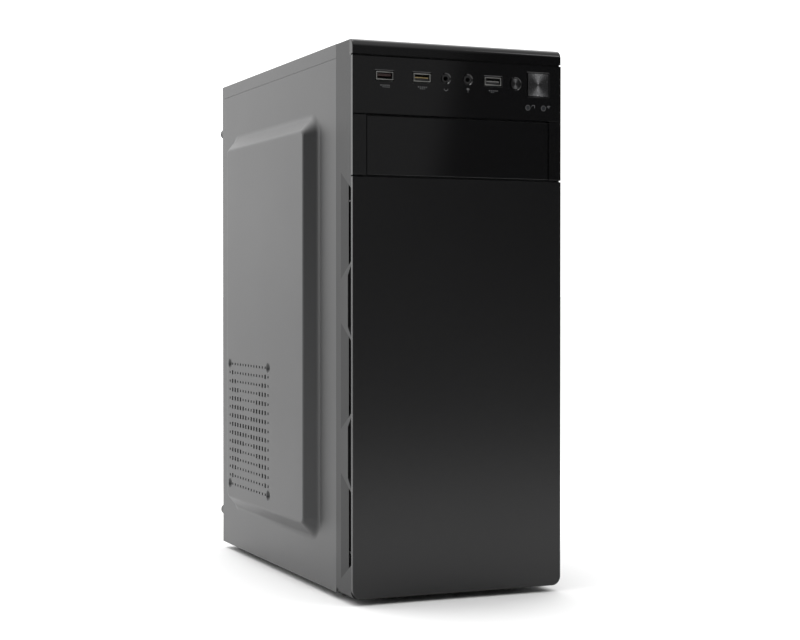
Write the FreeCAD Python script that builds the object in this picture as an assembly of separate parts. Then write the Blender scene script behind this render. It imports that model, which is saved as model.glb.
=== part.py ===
"""A mid-size desktop computer tower, built as separate pieces in millimetres.

+Z is up and +X is to the right as seen from the front, which faces -Y. The origin is the middle of the
footprint on the floor: halfway between the front face and the ends of the thumbscrews behind the case.
A steel chassis carries a micro-size motherboard, a power supply on top, a drive bay behind a blank
cover and a hard drive cage at the bottom. Both side panels slide off to the rear on rails, the plastic
front pulls off forwards, and the fans, buttons, rocker switch and thumbscrews all move.
"""
import FreeCAD, Part  # noqa: E401
import math
import os

from FreeCAD import Vector as V

# ---- Driving dimensions -------------------------------------------------------------------------
CASE_W = 172.0          # across the flat sides of the panels
CASE_D = 325.0          # front face to the rear faces of the side panels
CASE_H = 417.0          # floor to the top cover
FOOT_H = 5.0
SHEET = 0.8             # steel sheet of the chassis and the panels
KNOB_REACH = 10.0       # thumbscrew heads behind the case
GAP = 0.2               # sliding gap between sheets

Y_FACE = -(CASE_D + KNOB_REACH) / 2
Y_BACK = Y_FACE + CASE_D
X_SKIN = CASE_W / 2
X_SHELL = X_SKIN - 2.0                  # outer face of the chassis flanges, inside the side panels
Z_PAN = FOOT_H
Z_TOP = CASE_H

# Plastic front
FRONT_DEPTH = 34.0                      # face to the front edge of the side panels
FASCIA = 3.5                            # thickness of the front plates
WALL = 2.5
Y_WEB = Y_FACE + FASCIA                 # where the front plates rest on the bezel
Y_SEAM = Y_FACE + FRONT_DEPTH
Z_TRIM = 405.1                          # seam below the top strip, level with the top cover's edge
Z_BAY_TOP = 361.7
Z_BAY_LOW = 316.3
SEAM = 1.0                              # visible gap between front plates
BAY_HALF = 74.8                         # half the width of the drive bay cover
WING_TOP = 309.4                        # top of the first side air opening
WING_PITCH = 111.8                      # one recess and one tongue
RECESS_LEN = 57.8
TONGUE_LEN = 38.1
TONGUE_REACH = 10.2                     # how far behind the face a tongue's opening goes
RECESS_REACH = 12.4                     # how far behind the face the recess floor stops
RECESS_DEPTH = 1.6
WING_SLOPE = 0.605                      # slant of the recesses' ends, height over depth
TONGUE_SLOPE = 1.07
PORT_Z = 390.4                          # middle of the row of ports and buttons
USB_X = (-60.5, -30.5, 28.0)
JACK_X = (-11.2, 6.9)
RESET_X = 46.9
RESET_R = 4.0
POWER_X = 66.2
POWER_Z = 389.5
POWER_SIZE = 17.2
LED_X = (57.3, 70.7)
LED_Z = 371.8

# Chassis
Y_PLATE = Y_SEAM + 0.5                  # outer face of the steel front plate
Y_INNER_FRONT = Y_PLATE + SHEET
Y_REAR = Y_BACK - SHEET                 # outer face of the steel rear plate
Y_INNER_REAR = Y_REAR - SHEET
Z_FLOOR = Z_PAN + SHEET
Z_ROOF = Z_TOP - SHEET
Z_SEAM = 406.2                          # lower edge of the top cover's visible flange
RAIL_LOW = 22.0                         # top of the base pan's side flange
RAIL_HIGH = 395.0                       # bottom of the top cover's inner flange

# Side panels
BULGE = 9.4
BULGE_SLOPE = 11.5
BULGE_Y = (-95.8, 126.0)                # foot of the raised field, front and rear
BULGE_Z = (40.4, 367.4)
VENT_Y = 53.0
VENT_Z = 116.4
FAN_HOLES_SIDE = 105.0                  # hole spacing of a 120 mm fan
VENT_COUNT = 15
KNOB_X = 80.5
KNOB_Z = (33.1, 375.5)
KNOB_R = 4.7
SCREW_R = 1.75
SCREW_HOLE_R = 1.85

# Power supply
PSU_HALF = 75.0
PSU_Z = (326.0, 412.0)
PSU_LEN = 140.0
PSU_FAN = (-20.0, 369.0)
INLET = (46.0, 388.0)
ROCKER = (46.0, 350.0)
ROCKER_R = 9.2
ROCKER_REST = 9.0                       # degrees that the rocker leans at rest

# Motherboard, which stands beside the tray on the right
TRAY_X = 72.0
BOARD_X = 63.9                          # component side
BOARD_THICK = 1.6
BOARD_Y = (-57.0, 153.0)
BOARD_Z = (78.0, 322.0)
BOARD_HOLES_Y = (147.0, 8.0, -50.0)
BOARD_HOLES_Z = (317.0, 155.0, 84.0)
SHIELD_X = (22.05, 66.5)
SHIELD_Z = (158.0, 317.0)
SLOT_TOP_Z = 143.0
SLOT_PITCH = 20.32
SLOT_COUNT = 7
SLOT_X = (-50.0, 60.0)
SHELF_X = -56.8
CPU = (68.0, 264.0)
RAM_Y = (-8.0, -18.5)
REAR_FAN = (-30.0, 270.0)
REAR_FAN_SIZE = 92.0
REAR_FAN_HOLES = 82.5
AXLE_R = 1.5                            # fan axles

# Drives
CAGE_HALF = 74.4                        # inner half width of the drive bay
CAGE_BACK = -10.0
HDD_CAGE_X = (-64.6, 37.6)
HDD_CAGE_Z = 150.0
HDD_CAGE_BACK = -22.0
HDD_Z = 58.0
HDD_SIZE = (101.6, 147.0, 26.1)
HDD_HOLES_Y = (28.5, 70.1, 129.5)       # side screw holes, from the drive's front end


# ---- Small helpers ------------------------------------------------------------------------------
def block(x0, x1, y0, y1, z0, z1):
    """A box between two corners, given in any order."""
    low = V(min(x0, x1), min(y0, y1), min(z0, z1))
    return Part.makeBox(abs(x1 - x0), abs(y1 - y0), abs(z1 - z0), low)


def rod(radius, start, end):
    """A cylinder from one point to another."""
    a, b = V(*start), V(*end)
    return Part.makeCylinder(radius, (b - a).Length, a, b - a)


def prism(points, push):
    """A closed outline of straight sides, pushed along a vector."""
    outline = Part.makePolygon([V(*p) for p in points] + [V(*points[0])])
    return Part.Face(outline).extrude(V(*push))


def fuse(pieces):
    """One solid from pieces that touch or overlap."""
    joined = pieces[0].fuse(pieces[1:]) if len(pieces) > 1 else pieces[0]
    return joined.removeSplitter()


def cut(body, tools):
    return body.cut(Part.makeCompound(tools))


def group(pieces):
    return Part.makeCompound(pieces)


def mirrored(shape):
    """The same piece on the other side of the case."""
    return shape.mirror(V(0, 0, 0), V(1, 0, 0))


def edges_along(shape, direction, test):
    """Straight edges along a direction whose middle passes a test."""
    found = []
    for edge in shape.Edges:
        if edge.Curve.TypeId != "Part::GeomLine":
            continue
        if abs(abs(edge.Curve.Direction.dot(V(*direction))) - 1) < 1e-6 and test(edge.CenterOfMass):
            found.append(edge)
    return found


def hexagon(radius, centre, push):
    """A six-sided hole cutter along Y, standing on a point."""
    corners = []
    for k in range(6):
        a = math.radians(60 * k + 30)
        corners.append((centre[0] + radius * math.cos(a), centre[1], centre[2] + radius * math.sin(a)))
    return prism(corners, (0, push, 0))


def honeycomb(centre, reach, pitch, radius, y0, push):
    """Hexagonal hole cutters that fill a round field."""
    holes = []
    rows = int(reach / (pitch * 0.866)) + 1
    for row in range(-rows, rows + 1):
        for col in range(-rows, rows + 1):
            x = pitch * (col + 0.5 * (row % 2))
            z = pitch * 0.866 * row
            if math.hypot(x, z) + radius <= reach:
                holes.append(hexagon(radius, (centre[0] + x, y0, centre[1] + z), push))
    return holes


def rounded_plate(x0, x1, y0, y1, z0, z1, low_r, high_r):
    """An upright plate facing -Y, with its lower and upper corners rounded."""
    plate = block(x0, x1, y0, y1, z0, z1)
    middle = (z0 + z1) / 2
    if low_r:
        plate = plate.makeFillet(low_r, edges_along(plate, (0, 1, 0), lambda c: c.z < middle))
    if high_r:
        plate = plate.makeFillet(high_r, edges_along(plate, (0, 1, 0), lambda c: c.z > middle))
    return plate


def cable(points, radius):
    """A tube along straight runs joined by tangent arcs, and the arc radii it used."""
    p = [V(*q) for q in points]
    runs = [(b - a).Length for a, b in zip(p, p[1:])]
    edges, start, radii = [], p[0], []
    for k in range(1, len(p) - 1):
        before, after = (p[k] - p[k - 1]).normalize(), (p[k + 1] - p[k]).normalize()
        turn = before.getAngle(after)
        share_in = 0.9 if k == 1 else 0.45
        share_out = 0.9 if k == len(p) - 2 else 0.45
        reach = min(share_in * runs[k - 1], share_out * runs[k])
        radii.append(reach / math.tan(turn / 2))
        a, b = p[k] - before * reach, p[k] + after * reach
        bisector = (after - before).normalize()
        centre = p[k] + bisector * (radii[-1] / math.cos(turn / 2))
        middle = centre - bisector * radii[-1]
        edges.append(Part.LineSegment(start, a).toShape())
        edges.append(Part.Arc(a, middle, b).toShape())
        start = b
    edges.append(Part.LineSegment(start, p[-1]).toShape())
    path = Part.Wire(edges)
    ring = Part.Wire([Part.makeCircle(radius, p[0], p[1] - p[0])])
    tube = path.makePipeShell([ring], True, True)
    expected = math.pi * radius ** 2 * path.Length
    if abs(tube.Volume - expected) > 0.01 * expected:
        raise ValueError(f"cable volume {tube.Volume:.0f} is not {expected:.0f}")
    print("cable radii", [round(r, 1) for r in radii], "length", round(path.Length))
    return tube


def washer_screw(tip, axis, length=6.0):
    """A hexagon screw with a flange. tip is the point under its head, axis the way its shank goes."""
    a = V(*axis).normalize()
    head_up = V(0, 0, 1) if abs(a.z) < 0.5 else V(1, 0, 0)
    side = a.cross(head_up)
    under = V(*tip)
    corners = []
    for k in range(6):
        t = math.radians(60 * k)
        corners.append(under - a * 0.8 + (side * math.cos(t) + head_up * math.sin(t)) * 3.4)
    head = Part.Face(Part.makePolygon(corners + corners[:1])).extrude(a * -2.2)
    flange = Part.makeCylinder(4.0, 0.8, under - a * 0.8, a)
    shank = Part.makeCylinder(SCREW_R, length, under, a)
    cross = [block(-2.0, 2.0, -0.45, 0.45, -1.2, 0), block(-0.45, 0.45, -2.0, 2.0, -1.2, 0)]
    turn = FreeCAD.Rotation(V(0, 0, 1), a * -1)
    recess = group(cross)
    recess.Placement = FreeCAD.Placement(under - a * 3.0, turn)
    return fuse([head, flange, shank]).cut(recess)


# ---- Steel chassis ------------------------------------------------------------------------------
def base_pan():
    floor = block(-X_SHELL, X_SHELL, Y_PLATE, Y_INNER_REAR, Z_PAN, Z_FLOOR)
    sides = []
    for s in (-1, 1):
        sides.append(block(s * X_SHELL, s * (X_SHELL - SHEET), Y_INNER_FRONT, Y_INNER_REAR, Z_PAN, RAIL_LOW))
    lip = block(-70, 70, Y_INNER_FRONT, Y_INNER_FRONT + SHEET, Z_PAN, 16)
    slots = [block(x, x + 3.2, 60, 130, Z_PAN - 1, Z_FLOOR + 1) for x in range(-48, 50, 8)]
    return cut(fuse([floor, lip] + sides), slots)


def front_plate():
    plate = block(-X_SHELL, X_SHELL, Y_PLATE, Y_INNER_FRONT, Z_FLOOR, Z_ROOF)
    returns = []
    for s in (-1, 1):
        returns.append(block(s * X_SHELL, s * (X_SHELL - SHEET), Y_PLATE, Y_PLATE + 10,
                             RAIL_LOW + 2, RAIL_HIGH - 2))
    ledges = []
    for x in (-62.0, 40.0):
        ledges.append(block(x - 6, x + 6, Y_PLATE - 16, Y_PLATE + 0.4, PORT_Z - 5.4, PORT_Z - 4.6))
    through = (Y_PLATE - 1, Y_INNER_FRONT + 1)
    holes = [block(-BAY_HALF + 0.8, BAY_HALF - 0.8, *through, Z_BAY_LOW + 0.5, Z_BAY_TOP - 0.5),
             block(-70, 70, *through, PORT_Z - 4.0, PORT_Z + 12)]
    for x, z in post_places():
        holes.append(block(x - 3.6, x + 3.6, *through, z - 3.6, z + 3.6))
    for z in (90.0, 225.0):
        holes += honeycomb((0, z), 60, 13.0, 6.2, through[0], through[1] - through[0])
    return cut(fuse([plate] + returns + ledges), holes)


def post_places():
    """Where the plastic front's snap posts go through the steel."""
    return [(s * 77.5, z) for s in (-1, 1) for z in (32.0, 200.0, 303.0)]


def psu_screw_places():
    return [(-69.0, PSU_Z[0] + 6), (69.0, PSU_Z[0] + 6), (-69.0, PSU_Z[0] + 70), (69.0, PSU_Z[0] + 70)]


def slot_heights():
    return [SLOT_TOP_Z - SLOT_PITCH * k for k in range(SLOT_COUNT)]


def fan_corners(centre, spacing):
    h = spacing / 2
    return [(centre[0] + sx * h, centre[1] + sz * h) for sx in (-1, 1) for sz in (-1, 1)]


def rear_plate():
    plate = block(-X_SHELL, X_SHELL, Y_INNER_REAR, Y_REAR, Z_FLOOR, Z_ROOF)
    y0, y1 = Y_INNER_REAR - 1, Y_REAR + 1
    holes = [block(SHIELD_X[0], SHIELD_X[1], y0, y1, *SHIELD_Z)]
    window = block(-72, 72, y0, y1, PSU_Z[0] + 3, PSU_Z[1] - 3)
    tabs = [block(x - 5.5, x + 5.5, y0, y1, z - 6, z + 6) for x, z in psu_screw_places()]
    holes.append(cut(window, tabs))
    for z in slot_heights():
        holes.append(block(SLOT_X[0], SLOT_X[1], y0, y1, z - 6.4, z + 6.4))
        holes.append(block(SHELF_X - 1.2, SHELF_X, y0, y1, z - 9.4, z + 9.4))
    holes += honeycomb(REAR_FAN, 43.0, 6.6, 3.1, y0, y1 - y0)
    for x, z in fan_corners(REAR_FAN, REAR_FAN_HOLES):
        holes.append(rod(2.3, (x, y0, z), (x, y1, z)))
    for x, z in psu_screw_places():
        holes.append(rod(SCREW_HOLE_R, (x, y0, z), (x, y1, z)))
    for s in (-1, 1):
        for z in KNOB_Z:
            holes.append(rod(SCREW_HOLE_R, (s * KNOB_X, y0, z), (s * KNOB_X, y1, z)))
        for z0, z1 in ((RAIL_LOW - 7, RAIL_LOW + 2), (RAIL_HIGH - 2, RAIL_HIGH + 6)):
            holes.append(block(s * (X_SHELL - 2.2), s * (X_SHELL + 1), y0, y1, z0, z1))
    return cut(plate, holes)


def slot_rail():
    """The flange that the slot covers are screwed to, welded to the outside of the rear plate."""
    rail = block(SHELF_X, SHELF_X + SHEET, Y_REAR, Y_REAR + 10.2, 10, 155)
    holes = [rod(SCREW_HOLE_R, (SHELF_X - 2, Y_REAR + 5.6, z), (SHELF_X + 3, Y_REAR + 5.6, z))
             for z in slot_heights()]
    return cut(rail, holes)


def top_cover():
    top = block(-X_SKIN, X_SKIN, Y_SEAM + GAP, Y_BACK, Z_ROOF, Z_TOP)
    pieces = [top]
    for s in (-1, 1):
        pieces.append(block(s * X_SKIN, s * (X_SKIN - SHEET), Y_SEAM + GAP, Y_BACK, Z_SEAM, Z_TOP))
        pieces.append(block(s * X_SKIN, s * (X_SHELL - SHEET), Y_INNER_FRONT, Y_INNER_REAR,
                            Z_SEAM, Z_SEAM + SHEET))
        pieces.append(block(s * X_SHELL, s * (X_SHELL - SHEET), Y_INNER_FRONT, Y_INNER_REAR,
                            RAIL_HIGH, Z_SEAM + SHEET))
    cover = fuse(pieces)
    outer = edges_along(cover, (0, 1, 0), lambda c: c.z > Z_TOP - 0.1 and abs(c.x) > X_SKIN - 0.1)
    return cover.makeFillet(0.7, outer)


def motherboard_tray():
    plate = block(TRAY_X, TRAY_X + SHEET, -75, Y_INNER_REAR, Z_FLOOR, PSU_Z[0] - 2)
    foot = block(TRAY_X, TRAY_X + 9, -75, 140, Z_FLOOR, Z_FLOOR + SHEET)
    holes = [block(TRAY_X - 1, TRAY_X + 2, CPU[0] - 40, CPU[0] + 40, CPU[1] - 45, CPU[1] + 45),
             block(TRAY_X - 1, TRAY_X + 2, -70, -60, 240, 310),
             block(TRAY_X - 1, TRAY_X + 2, -20, 30, 30, 66)]
    for y in BOARD_HOLES_Y:
        for z in BOARD_HOLES_Z:
            holes.append(rod(1.6, (TRAY_X - 1, y, z), (TRAY_X + 2, y, z)))
    return cut(fuse([plate, foot]), holes)


def optical_drive_cage():
    pieces = []
    for s in (-1, 1):
        wall = block(s * CAGE_HALF, s * (CAGE_HALF + SHEET), Y_INNER_FRONT, CAGE_BACK, 312, Z_ROOF)
        slots = []
        for y in (-95.0, -45.0):
            slots.append(block(s * (CAGE_HALF - 1), s * (CAGE_HALF + 2), y, y + 26, 334, 338))
            slots.append(block(s * (CAGE_HALF - 1), s * (CAGE_HALF + 2), y, y + 26, 378, 398))
        pieces.append(cut(wall, slots))
        pieces.append(block(s * (CAGE_HALF + SHEET), s * (CAGE_HALF - 9), Y_INNER_FRONT, -80,
                            312, 312 + SHEET))
    pieces.append(block(-CAGE_HALF - SHEET, CAGE_HALF + SHEET, -120, -90, 312, 312 + SHEET))
    return fuse(pieces)


def hard_drive_cage():
    x0, x1 = HDD_CAGE_X
    pieces = []
    for inner, outer in ((x0, x0 - SHEET), (x1, x1 + SHEET)):
        pieces.append(block(inner, outer, Y_INNER_FRONT + 1, HDD_CAGE_BACK, Z_FLOOR, HDD_CAGE_Z))
    pieces.append(block(x0 - SHEET, x1 + SHEET, Y_INNER_FRONT + 1, HDD_CAGE_BACK,
                        HDD_CAGE_Z - SHEET, HDD_CAGE_Z))
    pieces.append(block(x0 - SHEET, x1 + SHEET, Y_INNER_FRONT + 1, HDD_CAGE_BACK, Z_FLOOR, Z_FLOOR + SHEET))
    holes = []
    y_front = hdd_front()
    for z in (HDD_Z + 6.4, HDD_Z + 46.4):
        for y in HDD_HOLES_Y[:2]:
            holes.append(block(x0 - 2, x1 + 2, y_front + y - 4, y_front + y + 4,
                               z - SCREW_HOLE_R, z + SCREW_HOLE_R))
    for y in (-118, -88, -58):
        holes.append(block(x0 + 8, x1 - 8, y, y + 18, HDD_CAGE_Z - 2, HDD_CAGE_Z + 1))
        holes.append(block(x0 - 2, x1 + 2, y, y + 18, 20, 48))
        holes.append(block(x0 - 2, x1 + 2, y, y + 18, 116, 140))
    return cut(fuse(pieces), holes)


def hdd_front():
    return Y_INNER_FRONT + 3.0


def feet():
    pads = []
    for x in (-62.0, 62.0):
        for y in (Y_FACE + 50, Y_BACK - 34):
            pad = Part.makeCone(12.5, 14.0, FOOT_H, V(x, y, 0))
            pads.append(pad.cut(rod(4.5, (x, y, -1), (x, y, 2.5))))
    return group(pads)


# ---- Side panels --------------------------------------------------------------------------------
def bulge_block(inset, lift):
    """The raised field as a solid: its foot outline lofted to its flat top, offset inwards by inset."""
    def outline(grow, corner, x):
        y0, y1 = BULGE_Y[0] + grow, BULGE_Y[1] - grow
        z0, z1 = BULGE_Z[0] + grow, BULGE_Z[1] - grow
        box = block(x, x - 1, y0, y1, z0, z1)
        box = box.makeFillet(corner, edges_along(box, (1, 0, 0), lambda c: True))
        face = [f for f in box.Faces if abs(f.CenterOfMass.x - x) < 1e-6][0]
        return face.OuterWire
    foot = outline(inset, 16.0 - inset, -X_SKIN + 0.0 + lift)
    top = outline(BULGE_SLOPE + inset, 16.0 - BULGE_SLOPE - inset * 0.5, -X_SKIN - BULGE + lift)
    return Part.makeLoft([foot, top], True, True)


def vent_cutters():
    """The vent's holes: tall ones left and right of an hourglass of short ones."""
    cutters = []
    pitch = FAN_HOLES_SIDE / (VENT_COUNT - 1)
    last, middle = VENT_COUNT - 1, (VENT_COUNT - 1) // 2
    for row in range(VENT_COUNT):
        for col in range(VENT_COUNT):
            from_side = min(col, last - col)
            from_end = min(row, last - row)
            if from_side == 0 and from_end == 0:
                continue
            tall = 1 <= from_side <= from_end or (from_end == middle and from_side > 0)
            wide, half = (1.6, 1.8) if tall else (1.2, 1.05)
            y = VENT_Y + pitch * (col - last / 2)
            z = VENT_Z + pitch * (row - last / 2)
            cutters.append(block(-X_SKIN - BULGE - 2, -X_SKIN + 1, y - wide, y + wide,
                                 z - half, z + half))
    return cutters


def side_panel(vented):
    """The left panel. Its raised field, rear flange, front hem and rail hooks are one folded sheet."""
    y0, z0, z1 = Y_SEAM + GAP, Z_PAN + 0.4, Z_SEAM - GAP
    inner = -X_SKIN + SHEET
    outside = [block(-X_SKIN, inner, y0, Y_BACK, z0, z1), bulge_block(0.0, 0.0)]
    skin = fuse(outside).cut(bulge_block(0.55, SHEET))
    foot = edges_in_plane(skin, -X_SKIN, 3.0)
    skin = safe_fillet(skin, 7.0, foot)
    rim = edges_in_plane(skin, -X_SKIN - BULGE, 3.0)
    skin = safe_fillet(skin, 4.0, rim)
    parts = [skin, block(inner, inner + SHEET, y0, y0 + 6, z0 + 20, z1 - 16)]
    flange = block(-X_SKIN, -76.6, Y_REAR + GAP, Y_BACK, RAIL_LOW + 2, RAIL_HIGH - 3)
    parts.append(flange)
    leg = -(X_SHELL - SHEET - GAP)
    for y in (-108.0, -28.0, 52.0, 132.0):
        parts.append(block(inner, leg + SHEET, y, y + 22, RAIL_HIGH - 1.2, RAIL_HIGH - 0.4))
        parts.append(block(leg, leg + SHEET, y, y + 22, RAIL_HIGH - 1.2, RAIL_HIGH + 5))
        parts.append(block(inner, leg + SHEET, y, y + 22, RAIL_LOW + 0.4, RAIL_LOW + 1.2))
        parts.append(block(leg, leg + SHEET, y, y + 22, RAIL_LOW - 6, RAIL_LOW + 1.2))
    corners = [(y, z) for y in (VENT_Y - FAN_HOLES_SIDE / 2, VENT_Y + FAN_HOLES_SIDE / 2)
               for z in (VENT_Z - FAN_HOLES_SIDE / 2, VENT_Z + FAN_HOLES_SIDE / 2)]
    face = -X_SKIN - BULGE
    if vented:
        parts += [Part.makeCone(5.6, 3.4, 2.4, V(face + 0.4, y, z), V(1, 0, 0)) for y, z in corners]
    panel = fuse(parts)
    holes = [rod(2.4, (-KNOB_X, Y_REAR - 1, z), (-KNOB_X, Y_BACK + 1, z)) for z in KNOB_Z]
    if vented:
        holes += vent_cutters()
        for y, z in corners:
            holes.append(rod(2.2, (face - 1, y, z), (-X_SKIN, y, z)))
            holes.append(Part.makeCone(4.6, 2.2, 2.0, V(face, y, z), V(1, 0, 0)))
    return cut(panel, holes)


def edges_in_plane(shape, x, least):
    """Edges longer than least that lie in the plane at x, on the raised field's outline."""
    found = []
    for edge in shape.Edges:
        box = edge.BoundBox
        flat = abs(box.XMin - x) < 1e-4 and abs(box.XMax - x) < 1e-4
        inside = (BULGE_Y[0] - 1 < box.YMin and box.YMax < BULGE_Y[1] + 1
                  and BULGE_Z[0] - 1 < box.ZMin and box.ZMax < BULGE_Z[1] + 1)
        if flat and inside and edge.Length > least:
            found.append(edge)
    return found


def safe_fillet(shape, radius, edges):
    """Fillets edges where the kernel can, and otherwise leaves the shape as it was."""
    try:
        rounded = shape.makeFillet(radius, edges)
    except Exception as problem:
        print("fillet left out", radius, len(edges), problem)
        return shape
    if rounded.isValid() and abs(rounded.Volume - shape.Volume) < 0.1 * shape.Volume:
        return rounded
    print("fillet not valid", radius, len(edges))
    return shape


def thumbscrew(x, z):
    """A captive thumbscrew with a straight-knurled head and a driver slot."""
    head = rod(KNOB_R, (x, Y_BACK + 0.6, z), (x, Y_BACK + KNOB_REACH - 0.6, z))
    grooves = []
    for k in range(20):
        a = 2 * math.pi * k / 20
        gx, gz = x + (KNOB_R + 0.25) * math.cos(a), z + (KNOB_R + 0.25) * math.sin(a)
        grooves.append(rod(0.5, (gx, Y_BACK + 1.6, gz), (gx, Y_BACK + KNOB_REACH - 1.6, gz)))
    cap = Part.makeCone(KNOB_R, KNOB_R - 0.8, 0.6, V(x, Y_BACK + KNOB_REACH - 0.6, z), V(0, 1, 0))
    collar = rod(3.1, (x, Y_BACK, z), (x, Y_BACK + 0.6, z))
    shank = rod(SCREW_R, (x, Y_BACK - 9, z), (x, Y_BACK, z))
    slot = block(x - 3.2, x + 3.2, Y_BACK + KNOB_REACH - 1.5, Y_BACK + KNOB_REACH + 1, z - 0.5, z + 0.5)
    return cut(fuse([head, cap, collar, shank]), grooves + [slot])


# ---- Plastic front ------------------------------------------------------------------------------
def depth(mm):
    """A place behind the front face."""
    return Y_FACE + mm


def recess_tops():
    return [WING_TOP - WING_PITCH * k for k in range(3)]


def tongue_tops():
    rib = (WING_PITCH - RECESS_LEN - TONGUE_LEN) / 2
    return [WING_TOP - RECESS_LEN - rib - WING_PITCH * k for k in range(2)]


def wing_outline(top, length, d0, d1, d_ref, slope, x, push):
    """A cutter through a side wing. Its ends slant, widening towards the rear if slope is positive."""
    rise0, rise1 = slope * (d0 - d_ref), slope * (d1 - d_ref)
    low = top - length
    points = [(x, depth(d0), top + rise0), (x, depth(d1), top + rise1),
              (x, depth(d1), low - rise1), (x, depth(d0), low - rise0)]
    return prism(points, (push, 0, 0))


def wing_recess(top, extra):
    """The sloping pocket that leads air to an opening, as a solid to cut away or to wrap a wall round."""
    outline = wing_outline(top + extra, RECESS_LEN + 2 * extra, 1.0, 24.5 + extra, 7.0, WING_SLOPE,
                           -X_SKIN - 1, 12)
    floor_x = -X_SKIN + RECESS_DEPTH + extra
    wedge = prism([(-X_SKIN - 1, depth(24.5 + extra), 0), (-X_SKIN, depth(24.5 + extra), 0),
                   (floor_x, depth(RECESS_REACH + extra), 0), (floor_x, depth(1), 0),
                   (-X_SKIN - 1, depth(1), 0)], (0, 0, CASE_H))
    return outline.common(wedge)


def wing_cutters():
    """Everything cut from the left wing: pockets, their openings and the tongues' openings."""
    cutters = []
    lip = -X_SKIN + RECESS_DEPTH
    for top in recess_tops():
        cutters.append(wing_recess(top, 0.0))
        mouth = wing_outline(top, RECESS_LEN, FASCIA - 1, RECESS_REACH + 9, 7.0, WING_SLOPE, -X_SKIN - 1, 12)
        undercut = prism([(-X_SKIN - 2, depth(1), 0), (-X_SKIN - 2, depth(RECESS_REACH), 0),
                          (lip, depth(RECESS_REACH), 0), (lip + 0.3, depth(RECESS_REACH), 0),
                          (lip + 2.4, depth(RECESS_REACH + 9), 0), (lip + 12, depth(RECESS_REACH + 9), 0),
                          (lip + 12, depth(1), 0)], (0, 0, CASE_H))
        cutters.append(mouth.common(undercut))
    for top in tongue_tops():
        cutters.append(wing_outline(top, TONGUE_LEN, FASCIA - 1, TONGUE_REACH, TONGUE_REACH, -TONGUE_SLOPE,
                                    -X_SKIN - 1, 12))
    return cutters


def front_bezel():
    outer = block(-X_SKIN, X_SKIN, Y_WEB, Y_SEAM, Z_PAN, Z_TRIM + SEAM / 2)
    outer = outer.makeFillet(5.0, edges_along(outer, (0, 1, 0), lambda c: c.z < 100))
    strip = block(-X_SKIN, X_SKIN, Y_FACE, Y_SEAM, Z_TRIM + SEAM / 2, Z_TOP)
    strip = strip.makeFillet(6.5, edges_along(strip, (1, 0, 0), lambda c: c.z > Z_TOP - 1 and c.y < Y_WEB))
    strip = strip.makeFillet(1.2, edges_along(strip, (0, 1, 0), lambda c: c.z > Z_TOP - 1))
    cavity = block(-X_SKIN + WALL, X_SKIN - WALL, Y_WEB + 2, Y_SEAM + 1, Z_PAN + WALL, Z_TOP - WALL)
    for s in (-1, 1):
        for top in recess_tops():
            wrap = wing_recess(top, 1.8)
            cavity = cavity.cut(wrap if s < 0 else mirrored(wrap))
    shell = fuse([outer, strip]).cut(cavity)
    cutters = []
    for one in wing_cutters():
        cutters += [one, mirrored(one)]
    y0, y1 = Y_WEB - 0.5, Y_WEB + 3
    cutters.append(block(-BAY_HALF + 0.4, BAY_HALF - 0.4, y0, y1, Z_BAY_LOW + 2.6, Z_BAY_TOP - 2.6))
    cutters.append(block(-70, 78, y0, y1, POWER_Z - 10.5, POWER_Z + 10.5))
    cutters.append(block(LED_X[0] - 4, LED_X[1] + 4, y0, y1, LED_Z - 4, LED_Z + 4))
    for z0, z1 in ((22, 105), (115, 200), (210, 300)):
        cutters.append(block(-68, -4, y0, y1, z0, z1))
        cutters.append(block(4, 68, y0, y1, z0, z1))
    posts = []
    for x, z in post_places():
        posts.append(block(x - 2.6, x + 2.6, Y_WEB + 1, Y_INNER_FRONT + 3, z - 2.6, z + 2.6))
    return fuse([cut(shell, cutters)] + posts)


def soften(plate, size):
    """Breaks the outline of a plate's front face, so that its edges catch the light."""
    front = [f for f in plate.Faces if abs(f.CenterOfMass.y - Y_FACE) < 1e-6]
    edges = [e for f in front for e in f.OuterWire.Edges]
    try:
        return plate.makeChamfer(size, edges)
    except Exception as problem:
        print("chamfer left out", problem)
        return plate


def upper_fascia():
    plate = block(-X_SKIN, X_SKIN, Y_FACE, Y_WEB, Z_BAY_LOW + SEAM / 2, Z_TRIM - SEAM / 2)
    plate = soften(plate, 0.5)
    y0, y1 = Y_FACE - 1, Y_WEB + 1
    groove = prism([(-X_SKIN - 1, Y_FACE - 0.5, Z_BAY_TOP - 0.9), (-X_SKIN - 1, Y_FACE + 0.9, Z_BAY_TOP),
                    (-X_SKIN - 1, Y_FACE - 0.5, Z_BAY_TOP + 0.9)], (CASE_W + 2, 0, 0))
    holes = [groove, block(-BAY_HALF - 0.5, BAY_HALF + 0.5, y0, y1, Z_BAY_LOW - 1, Z_BAY_TOP)]
    for x in USB_X:
        holes.append(block(x - 7.3, x + 7.3, y0, y1, PORT_Z - 3.7, PORT_Z + 3.7))
        holes.append(frame_chamfer(x, PORT_Z, 7.3, 3.7, 0.6))
    for x in JACK_X:
        holes.append(rod(3.4, (x, y0, PORT_Z + 0.25), (x, y1, PORT_Z + 0.25)))
        holes.append(Part.makeCone(4.2, 3.4, 0.8, V(x, Y_FACE, PORT_Z + 0.25), V(0, 1, 0)))
    holes.append(rod(RESET_R + 0.3, (RESET_X, y0, POWER_Z), (RESET_X, y1, POWER_Z)))
    holes.append(Part.makeCone(RESET_R + 1.0, RESET_R + 0.3, 0.7, V(RESET_X, Y_FACE, POWER_Z), V(0, 1, 0)))
    half = POWER_SIZE / 2 + 0.35
    holes.append(block(POWER_X - half, POWER_X + half, y0, y1, POWER_Z - half, POWER_Z + half))
    holes.append(frame_chamfer(POWER_X, POWER_Z, half, half, 0.7))
    for x in LED_X:
        holes.append(rod(1.55, (x, y0, LED_Z), (x, y1, LED_Z)))
    return cut(plate, holes)


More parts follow.
